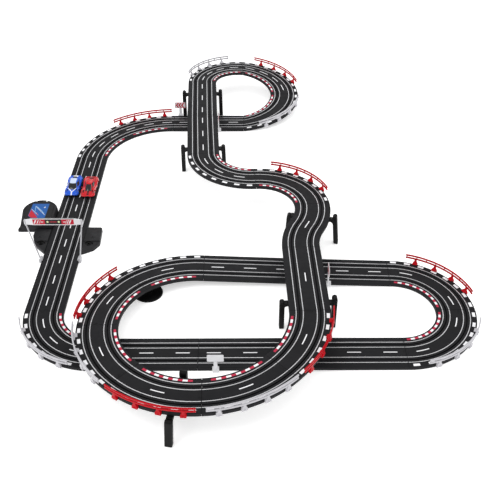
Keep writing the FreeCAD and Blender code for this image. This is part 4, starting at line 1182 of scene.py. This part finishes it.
# Body sections: forward, half width, sill, height over the wheels, height along the middle.
STATIONS = {
    "blue": ((-53.6, 19.5, 9.5, 17.0, 17.6), (-52.4, 22.2, 7.5, 19.6, 19.6), (-48.0, 24.0, 5.6, 21.8, 21.0),
             (-41.0, 24.9, 4.6, 23.0, 21.2), (-33.0, 25.2, 4.2, 23.6, 20.8), (-24.0, 25.1, 4.0, 23.0, 20.6),
             (-14.0, 24.2, 4.0, 20.4, 20.4), (-3.0, 22.9, 4.0, 18.4, 19.4), (9.0, 22.6, 4.0, 18.0, 18.8),
             (20.0, 24.0, 4.0, 19.8, 17.6), (30.0, 25.0, 4.2, 21.0, 15.8), (39.0, 24.8, 4.4, 19.4, 14.4),
             (46.5, 23.6, 4.8, 15.8, 12.8), (51.5, 21.2, 5.4, 12.2, 11.2), (54.0, 17.5, 6.6, 9.6, 9.4)),
    "red": ((-53.6, 21.0, 9.0, 18.6, 16.6), (-52.2, 23.2, 7.2, 21.0, 18.0), (-47.0, 24.6, 5.4, 23.0, 18.8),
            (-40.0, 25.1, 4.6, 23.8, 19.2), (-32.0, 25.2, 4.2, 23.6, 19.6), (-22.0, 24.8, 4.0, 21.8, 20.0),
            (-12.0, 23.6, 4.0, 19.2, 19.8), (-2.0, 22.2, 4.0, 17.6, 19.0), (9.0, 21.8, 4.0, 17.4, 18.0),
            (19.0, 23.6, 4.0, 19.2, 16.4), (29.0, 24.9, 4.2, 20.9, 14.2), (37.5, 24.9, 4.4, 19.6, 12.4),
            (45.0, 23.8, 4.8, 15.6, 10.6), (50.6, 21.6, 5.2, 11.4, 9.2), (54.0, 18.5, 6.0, 8.6, 8.0)),
}
# Cabin rings: height, back, front, half width at each.
CABIN = {
    "blue": ((15.5, -38.0, 30.0, 20.0), (19.5, -35.0, 24.5, 19.4), (23.5, -31.5, 16.5, 17.8),
             (27.0, -28.0, 9.0, 15.8), (29.3, -24.5, 3.5, 13.8), (30.4, -21.0, -1.0, 11.4),
             (30.8, -14.0, -7.0, 5.0)),
    "red": ((15.0, -44.0, 30.0, 17.5), (18.5, -42.0, 25.0, 16.8), (22.5, -36.0, 17.5, 15.4),
            (26.2, -29.0, 10.0, 13.4), (28.6, -22.0, 5.0, 11.4), (29.8, -16.0, 1.0, 9.0),
            (30.2, -10.0, -4.0, 4.0)),
}
CABIN_SQUARENESS = 0.62
BODY_FULLNESS = 1.045
CABIN_TAPER = {"blue": 0.12, "red": 0.34}
CABIN_COLUMNS = 56
# Painted patches on each side of the cabin: turns from, turns to, lift.
CABIN_PATCHES = {"blue": ((0.125, 0.150, 0.35), (0.255, 0.270, 0.35), (0.33, 0.41, 0.4)),
                 "red": ((0.130, 0.165, 0.35), (0.27, 0.43, 0.4))}
ROOF_FROM = {"blue": 3.3, "red": 3.7}


class Car:
    """Places car parts: across is +X, forward is -Y, height is above the deck's top; millimetres."""

    def __init__(self, name, x, y):
        self.name = name
        self.style = name.split("_")[1]
        self.blue = self.style == "blue"
        self.x = x
        self.y = y

    def at(self, across, forward, height):
        return Vector((self.x + across, self.y - forward, DECK_HEIGHT + height)) * MM

    def body_ring(self, station, shrink=0.0, drop=0.0):
        forward, half, sill, fender, middle = station
        half = half * BODY_FULLNESS - shrink
        fender -= shrink
        middle -= shrink
        sill -= drop
        rise = fender - middle
        side = [(0.0, middle), (0.36 * half, middle + 0.06 * rise), (0.58 * half, middle + 0.5 * rise),
                (0.76 * half, fender), (0.92 * half, fender - 1.1), (half, 0.55 * fender + 0.45 * sill),
                (0.985 * half, sill + 2.2), (0.93 * half, sill), (0.4 * half, sill), (0.0, sill)]
        ring = side + [(-across, height) for across, height in side[-2:0:-1]]
        return [self.at(across, forward, height) for across, height in ring]

    def cabin_point(self, level, turn, lift=0.0):
        """Point on the cabin: level counts its rings, turn goes round from the front (0) to 1."""
        rings = CABIN[self.style]
        low = min(int(level), len(rings) - 2)
        t = level - low
        height, back, front, half = [a * (1 - t) + b * t for a, b in zip(rings[low], rings[low + 1])]
        angle = 2 * math.pi * turn
        forward_way, side_way = [math.copysign(abs(way) ** CABIN_SQUARENESS, way)
                                 for way in (math.cos(angle), math.sin(angle))]
        narrowing = 1 - CABIN_TAPER[self.style] * max(0.0, forward_way) ** 2
        across = half * side_way * narrowing + lift * math.sin(angle)
        forward = (front + back) / 2 + (front - back) / 2 * forward_way + lift * math.cos(angle)
        return self.at(across, forward, height + 0.7 * lift)

    def cabin_ring(self, level, lift=0.0):
        return [self.cabin_point(level, c / CABIN_COLUMNS, lift) for c in range(CABIN_COLUMNS)]

    def cabin_patch(self, builder, levels, turns, lift, thick=0.5, steps=6):
        """Curved panel lying on the cabin between two levels and two turns."""
        grids = []
        for out in (lift, lift - thick):
            grids.append([[self.cabin_point(levels[0] + (levels[1] - levels[0]) * r / steps,
                                            turns[0] + (turns[1] - turns[0]) * c / steps, out)
                           for c in range(steps + 1)] for r in range(steps + 1)])
        builder.sheet(*grids)

    def block(self, builder, across, forward, height, slot=0):
        """Box from (low, high) pairs in the three directions."""
        low = self.at(across[0], forward[1], height[0])
        builder.box(low, self.at(across[1], forward[0], height[1]), slot)

    def pair(self, builder, across, forward, height, slot=0):
        """The same box on both sides."""
        for side in (-1, 1):
            self.block(builder, span(side, *across), forward, height, slot)


def build_body(car, paint):
    body = Builder()
    stations = STATIONS[car.style]
    body.loft([car.body_ring(station) for station in stations])
    arches = Builder()
    for forward in (FRONT_AXLE, REAR_AXLE):
        for side in (-1, 1):
            ends = [car.at(across, forward, WHEEL_RADIUS)
                    for across in span(side, WHEEL_TRACK - TYRE_WIDTH / 2 - 1, ARCH_REACH)]
            arches.rod(*ends, ARCH_RADIUS, 40)
    hollow = Builder()
    hollow.loft([car.body_ring(station, 2.6, 12.0) for station in stations[1:-1]])
    body.build(car.name + "_body", [paint], 0.25, sharp=42, body=car.name,
               stands_for=[car.name + "_shell"], subdivide=2, cutters=[arches, hollow])


def build_glass(car):
    glass = Builder()
    glass.loft([car.cabin_ring(k / 2) for k in range(13)])
    glass.build(car.name + "_glass", [GLASS], sharp=60, body=car.name,
                stands_for=[car.name + "_windows"])


def build_cabin_panels(car, paint, roof_paint):
    """Painted roof, pillars and rear quarters over the dark glass."""
    panels = Builder()
    roof = ROOF_FROM[car.style]
    rings = [car.cabin_ring(level, 0.4) for level in (roof, 4.2, 5.0, 5.5, 6.0)]
    panels.loft([car.cabin_ring(roof, -0.2)] + rings, 1)
    for start, end, lift in CABIN_PATCHES[car.style]:
        for turns in ((start, end), (1 - end, 1 - start)):
            car.cabin_patch(panels, (0.6, roof + 0.2), turns, lift)
    if car.blue:
        car.cabin_patch(panels, (0.5, 1.6), (0.40, 0.60), 0.4)
    else:
        for k in range(4):
            car.cabin_patch(panels, (0.9 + 0.7 * k, 1.2 + 0.7 * k), (0.43, 0.57), 0.5)
    panels.build(car.name + "_cabin_panels", [paint, roof_paint], sharp=40,
                 body=car.name)


def build_trim(car):
    """Black parts: nose intakes, sills, rear diffuser, grilles, scoop and vents."""
    trim = Builder()
    nose, half = (53.0, 9) if car.blue else (52.6, 6.5)
    car.block(trim, (-half, half), (nose - 3, nose + 1.4), (6.6, 8.6))
    car.pair(trim, (12.5, 17.5), (nose - 5, nose + 0.1), (6.8, 9.4))
    car.pair(trim, (22.8, 24.2), (-18, 19), (3.2, 6.6))
    car.pair(trim, (21.4, 25.4), (-16.5, -12.0), (10.5, 15.5))
    car.block(trim, (-17, 17), (-54.0, -50), (5.2, 9.6))
    for across in (4, 11):
        car.pair(trim, (across - 0.5, across + 0.5), (-54.3, -47), (3.6, 8.6))
    car.block(trim, (-15, 15), (-53.9, -52.5), (12.4, 15.6))
    if car.blue:
        car.block(trim, (-6, 6), (-38.5, -25), (20.4, 27.6))
    else:
        for k in range(4):
            car.block(trim, (-7.5, 7.5), (-49.0 + 3.0 * k, -47.2 + 3.0 * k), (17.6, 19.6))
        car.pair(trim, (8.2, 12.4), (24.5, 31), (14.0, 16.4))
    trim.build(car.name + "_trim", [BLACK_TRIM], 0.5, body=car.name)


def build_lamps(car):
    """Headlamp and tail lamp lenses."""
    lamps = Builder()
    inner, outer = (16.2, 20.8) if car.blue else (17.4, 20.6)
    corners = [(inner, 45.5, 15.0), (outer, 43.0, 15.8), (outer + 1.0, 37.5, 18.6), (inner + 2.6, 38.5, 18.4)]
    for side in (-1, 1):
        lamps.loft([[car.at(side * across, forward, height + lift) for across, forward, height in corners]
                    for lift in (-1.6, 0.9)])
    car.pair(lamps, (14.5, 20.0), (-54.2, -52.0), (16.2, 17.8), 1)
    lamps.build(car.name + "_lamps", [LENS_DARK, TAIL_RED], 0.3, body=car.name)


def build_mirrors_and_spoiler(car, paint):
    parts = Builder()
    car.pair(parts, (19.2, 22.6), (15.4, 16.8), (20.2, 21.1))
    car.pair(parts, (21.4, 24.2), (14.8, 17.4), (20.4, 22.6))
    spoiler = [(-54.4, 21.0), (-49.0, 21.4), (-49.0, 20.4), (-54.4, 20.0)]
    half = 19.0 if car.blue else 21.0
    parts.loft([[car.at(across, forward, height) for forward, height in spoiler] for across in (-half, half)])
    car.pair(parts, (13.0, 14.2), (-53.0, -49.6), (18.0, 20.6))
    parts.build(car.name + "_mirrors_spoiler", [paint], 0.4, 3, body=car.name)


def tyre_profile():
    """Rounded shoulders and three tread grooves, as (along, radius)."""
    shoulder = [(4, HUB_RADIUS), (4, TYRE_RADIUS - 1.6), (3.7, TYRE_RADIUS - 0.7), (3.0, TYRE_RADIUS - 0.15)]
    tread = [(groove + along, TYRE_RADIUS - depth) for groove in TREAD_GROOVES
             for along, depth in ((-0.3, 0.0), (-0.25, 0.4), (0.25, 0.4), (0.3, 0.0))]
    return [(-along, radius) for along, radius in shoulder] + tread + shoulder[::-1]


def build_wheels(car, forward, end):
    """Tyres with tread grooves, and five-spoke rims in the dished hubs."""
    body = f"{car.name}_{end}_wheels"
    tyres = Builder()
    rims = Builder()
    for side in (-1, 1):
        centre = car.at(side * WHEEL_TRACK, forward, WHEEL_RADIUS)
        axis = Vector((side, 0, 0))
        tyres.lathe(centre, axis, tyre_profile(), 56)
        face = centre + axis * (RIM_FACE * MM)
        rims.lathe(face, axis, RIM_CAP, 20)
        rims.lathe(face, axis, RIM_RING, 40)
        low, high = span(side, 0.0, 1.0)
        for k in range(SPOKES):
            spin = Matrix.Translation(face) @ Matrix.Rotation(2 * math.pi * k / SPOKES, 4, "X")
            rims.box(floor_point(low, -0.6, 1.0), floor_point(high, 0.6, 5.0), turn=spin)
    tyres.build(f"{car.name}_{end}_tyre_pair", [TYRE], sharp=30, body=body,
                stands_for=[f"{car.name}_{end}_tyres"])
    rims.build(f"{car.name}_{end}_rims", [WHEEL_METAL], 0.15, body=body)


def build_car(name, x, y, paint, roof_paint):
    car = Car(name, x, y)
    build_body(car, paint)
    build_glass(car)
    build_cabin_panels(car, paint, roof_paint)
    build_trim(car)
    build_lamps(car)
    build_mirrors_and_spoiler(car, paint)
    build_wheels(car, FRONT_AXLE, "front")
    build_wheels(car, REAR_AXLE, "rear")


# ---- car materials
def car_paint(name, colour, deep, car, decorate):
    """Glossy clear-coated paint; decorate adds graphics from across and forward in metres."""
    made = Nodes(name)
    x, y = CAR_PLACES[car]
    place = made.node("SeparateXYZ", {0: made.coordinates}).outputs
    across = made.maths("ABSOLUTE", made.maths("SUBTRACT", place[0], x * MM))
    forward = made.maths("SUBTRACT", y * MM, place[1])
    flake = made.spread(made.noise(3800.0, 1.0), 0.0, 0.3, at=(0.45, 0.7))
    base = made.mix(made.spread(made.noise(30.0, 3.0), 0.0, 0.5), colour, deep)
    base = made.mix(flake, base, tuple(min(1.0, c * 1.5 + 0.01) for c in colour))
    return made.finish(made.noise(420.0, 2.0), 0.06, 0.00006,
                       Base_Color=decorate(made, base, across, forward),
                       Roughness=made.spread(made.noise(80.0, 4.0), 0.22, 0.34),
                       Specular_IOR_Level=0.3, Coat_Weight=0.45, Coat_Roughness=0.06)


def near_zero(made, value, width):
    """1 where a value is within a width of zero, with a slightly soft edge."""
    return made.spread(made.maths("ABSOLUTE", value), 1.0, 0.0, at=(width * MM, (width + 0.25) * MM))


def above(made, value, limit):
    return made.spread(value, 0.0, 1.0, at=((limit - 0.15) * MM, (limit + 0.15) * MM))


def behind(made, forward, limit):
    """1 further back than a limit."""
    return above(made, made.maths("MULTIPLY", forward, -1.0), limit)


def blue_graphics(made, base, across, forward):
    """White Y on the nose and a white patch on the tail."""
    arms = made.maths("MAXIMUM", made.maths("MULTIPLY", made.maths("SUBTRACT", 0.041, forward), 0.75), 0.0)
    stripe = near_zero(made, made.maths("SUBTRACT", across, arms), 1.9)
    stripe = made.maths("MULTIPLY", stripe, above(made, forward, 23.0))
    tail = made.maths("MULTIPLY", near_zero(made, across, 8.5), behind(made, forward, 45.5))
    return made.mix(made.maths("MAXIMUM", stripe, tail), base, (0.83, 0.85, 0.88))


def blue_roof_graphics(made, base, across, forward):
    """Pale panel on the front of the roof."""
    panel = made.maths("MULTIPLY", near_zero(made, across, 10.5), above(made, forward, -22.0))
    return made.mix(panel, base, (0.56, 0.64, 0.80))


def red_graphics(made, base, across, forward):
    """Thin dark shut lines beside the engine cover, and two dark vents on the nose."""
    line = near_zero(made, made.maths("SUBTRACT", across, 0.0165), 0.3)
    line = made.maths("MULTIPLY", line, behind(made, forward, 8.0))
    for middle in (0.034, 0.0435):
        vent = near_zero(made, made.maths("SUBTRACT", forward, middle), 3.6)
        line = made.maths("MAXIMUM", line, made.maths("MULTIPLY", vent, near_zero(made, across, 3.6)))
    return made.mix(line, base, (0.02, 0.002, 0.003))


def glassy(name, colour, roughness=(0.04, 0.12)):
    """Dark or coloured clear plastic with faint smears."""
    made = Nodes(name)
    tint = made.mix(made.spread(made.noise(40.0), 0.0, 1.0), colour, tuple(c * 0.8 for c in colour))
    return made.finish(made.noise(300.0), 0.05, 0.00003, Base_Color=tint, Coat_Weight=0.5,
                       Roughness=made.spread(made.noise(120.0, 5.0), *roughness),
                       Coat_Roughness=0.05, Specular_IOR_Level=0.6)


def rubber(name):
    made = Nodes(name)
    scuff = made.spread(made.noise(500.0, 4.0), 0.0, 0.7, at=(0.45, 0.7))
    return made.finish(made.noise(2400.0, 3.0), 0.4, 0.00008,
                       Base_Color=made.mix(scuff, (0.006, 0.006, 0.006), (0.02, 0.019, 0.018)),
                       Roughness=made.spread(made.noise(300.0, 4.0), 0.6, 0.85), Specular_IOR_Level=0.3)


def woven(name):
    """Copper braid: crossing strands."""
    made = Nodes(name)
    waves = [made.node("TexWave", {"Scale": 700.0, "Vector": made.coordinates},
                       bands_direction=direction).outputs["Fac"] for direction in ("DIAGONAL", "X")]
    cross = made.maths("MULTIPLY", *waves)
    return made.finish(cross, 0.5, 0.0001, Metallic=1.0,
                       Roughness=made.spread(cross, 0.55, 0.3, at=(0.0, 1.0)),
                       Base_Color=made.mix(cross, (0.20, 0.075, 0.035), (0.86, 0.42, 0.22)))


def circuit_board(name):
    """Green board with faint copper tracks under the lacquer."""
    made = Nodes(name)
    cells = made.node("TexVoronoi", {"Scale": 260.0, "Vector": made.coordinates}).outputs["Distance"]
    tracks = made.spread(cells, 0.0, 1.0, at=(0.32, 0.36))
    return made.finish(tracks, 0.3, 0.00005, Coat_Weight=0.4,
                       Base_Color=made.mix(tracks, (0.008, 0.10, 0.028), (0.03, 0.20, 0.06)),
                       Roughness=made.spread(made.noise(300.0), 0.3, 0.5))


CAR_PLACES = {"car_blue": (-LANE_OFFSET, 218.0), "car_red": (LANE_OFFSET, 211.0)}
LENS = glassy("lamp_lens_clear", (0.78, 0.80, 0.76), (0.08, 0.2))
LENS_DARK = glassy("lamp_lens_smoked", (0.05, 0.055, 0.065))
TAIL_RED = glassy("lamp_lens_red", (0.45, 0.005, 0.006))
GLASS = glassy("window_smoke_plastic", (0.006, 0.007, 0.009))
TYRE = rubber("tyre_rubber_black")
WHEEL_METAL = metal("wheel_silver", (0.5, 0.5, 0.52), (0.25, 0.4))
SCREW_STEEL = metal("screw_steel_bright", (0.5, 0.5, 0.5), (0.3, 0.45))
BLACK_TRIM = moulded("trim_black_plastic", (0.006, 0.006, 0.007), (0.013, 0.013, 0.014), (0.35, 0.5), 2000.0)
BLUE = (0.001, 0.085, 0.58)
BLUE_DEEP = (0.001, 0.05, 0.42)
BLUE_PAINT = car_paint("paint_blue_gloss", BLUE, BLUE_DEEP, "car_blue", blue_graphics)
RED_PAINT = car_paint("paint_red_gloss", (0.56, 0.002, 0.010), (0.40, 0.002, 0.008), "car_red", red_graphics)
BLUE_ROOF = car_paint("paint_blue_roof", BLUE, BLUE_DEEP, "car_blue", blue_roof_graphics)


def finish_cad_nodes():
    """Materials for the CAD nodes that stay in view."""
    finishes = {"control_board": circuit_board("board_green_lacquer"), "controller_sockets": SOCKET,
                "power_jack": SOCKET}
    guide = moulded("guide_nylon", (0.010, 0.010, 0.011), (0.02, 0.02, 0.022), (0.4, 0.55), 1800.0)
    braid = woven("braid_copper_weave")
    brass = metal("pinion_brass_cut", (0.72, 0.50, 0.22), (0.2, 0.35))
    can = metal("motor_can_steel", (0.60, 0.60, 0.62), (0.2, 0.36))
    magnet = metal("magnet_ferrite", (0.05, 0.05, 0.055), (0.45, 0.6))
    for name in CAR_PLACES:
        finishes.update({name + "_chassis": BLACK_TRIM, name + "_guide": guide, name + "_braids": braid,
                         name + "_front_axle": WHEEL_METAL, name + "_rear_axle": WHEEL_METAL,
                         name + "_pinion": brass, name + "_motor_can": can, name + "_magnet": magnet})
    for name, material in finishes.items():
        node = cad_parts[name]
        for slot in node.material_slots:
            slot.material = material


# ---- stage, light and camera
CAMERA_PLACE = Vector((0.5938, -2.0845, 1.5186))
CAMERA_PITCH = 37.75
CAMERA_LENS = 55.8
SENSOR_WIDTH = 36.0
FLOOR_LOW = (-5.0, -5.0, -0.06)
FLOOR_HIGH = (7.0, 9.0, -0.0005)
FLOOR_GLOW = 0.45
WORLD_STRENGTH = 0.95
WORLD_STRENGTH_IN_GLOSS = 0.45


def build_stage():
    floor = Builder()
    floor.box(FLOOR_LOW, FLOOR_HIGH)
    made = Nodes("floor_paint")
    tone = made.mix(made.spread(made.noise(3.0), 0.0, 1.0), (0.93, 0.93, 0.93), (0.95, 0.95, 0.95))
    for key, value in (("Base Color", tone), ("Roughness", 0.9), ("Specular IOR Level", 0.1),
                       ("Emission Color", (1.0, 1.0, 1.0)), ("Emission Strength", FLOOR_GLOW)):
        feed(made.shader.inputs[key], value)
    link(bpy.data.objects.new("floor", floor.mesh("floor", [made.material])))


def area_light(name, place, aim, size, power):
    data = bpy.data.lights.new(name, "AREA")
    data.size = size
    data.energy = power
    lamp = link(bpy.data.objects.new(name, data))
    lamp.location = place
    lamp.rotation_euler = (aim - lamp.location).to_track_quat("-Z", "Y").to_euler()


def build_lights():
    """White world, dimmer in reflections, and three soft lamps."""
    world = bpy.data.worlds.new("studio")
    bpy.context.scene.world = world
    world.use_nodes = True
    rays = new_node(world.node_tree, "LightPath")
    strength = new_node(world.node_tree, "MapRange", {
        "Value": rays.outputs["Is Glossy Ray"], "To Min": WORLD_STRENGTH, "To Max": WORLD_STRENGTH_IN_GLOSS})
    background = world.node_tree.nodes["Background"]
    feed(background.inputs[0], (1.0, 1.0, 1.0))
    feed(background.inputs[1], strength.outputs[0])
    target = Vector((0.55, 0.0, 0.0))
    area_light("key", (-1.2, -1.2, 2.8), target, 2.2, 30)
    area_light("fill", (2.6, 0.4, 2.4), target, 2.4, 14)
    area_light("back", (0.4, 2.8, 2.2), target, 2.0, 16)
    bpy.context.scene.view_settings.view_transform = "Standard"


def build_camera():
    data = bpy.data.cameras.new("camera")
    data.lens = CAMERA_LENS
    data.sensor_width = SENSOR_WIDTH
    data.clip_start = 0.01
    data.clip_end = 50.0
    camera = link(bpy.data.objects.new("camera", data))
    camera.location = CAMERA_PLACE
    camera.rotation_euler = (math.radians(90 - CAMERA_PITCH), 0.0, 0.0)
    bpy.context.scene.camera = camera


def main():
    build_decks()
    build_rails()
    build_tongue_shadow_lines()
    build_markings()
    build_supports()
    build_pillar()
    build_fences()
    build_furniture()
    build_console()
    build_car("car_blue", *CAR_PLACES["car_blue"], BLUE_PAINT, BLUE_ROOF)
    build_car("car_red", *CAR_PLACES["car_red"], RED_PAINT, RED_PAINT)
    finish_cad_nodes()
    build_stage()
    build_lights()
    build_camera()


main()
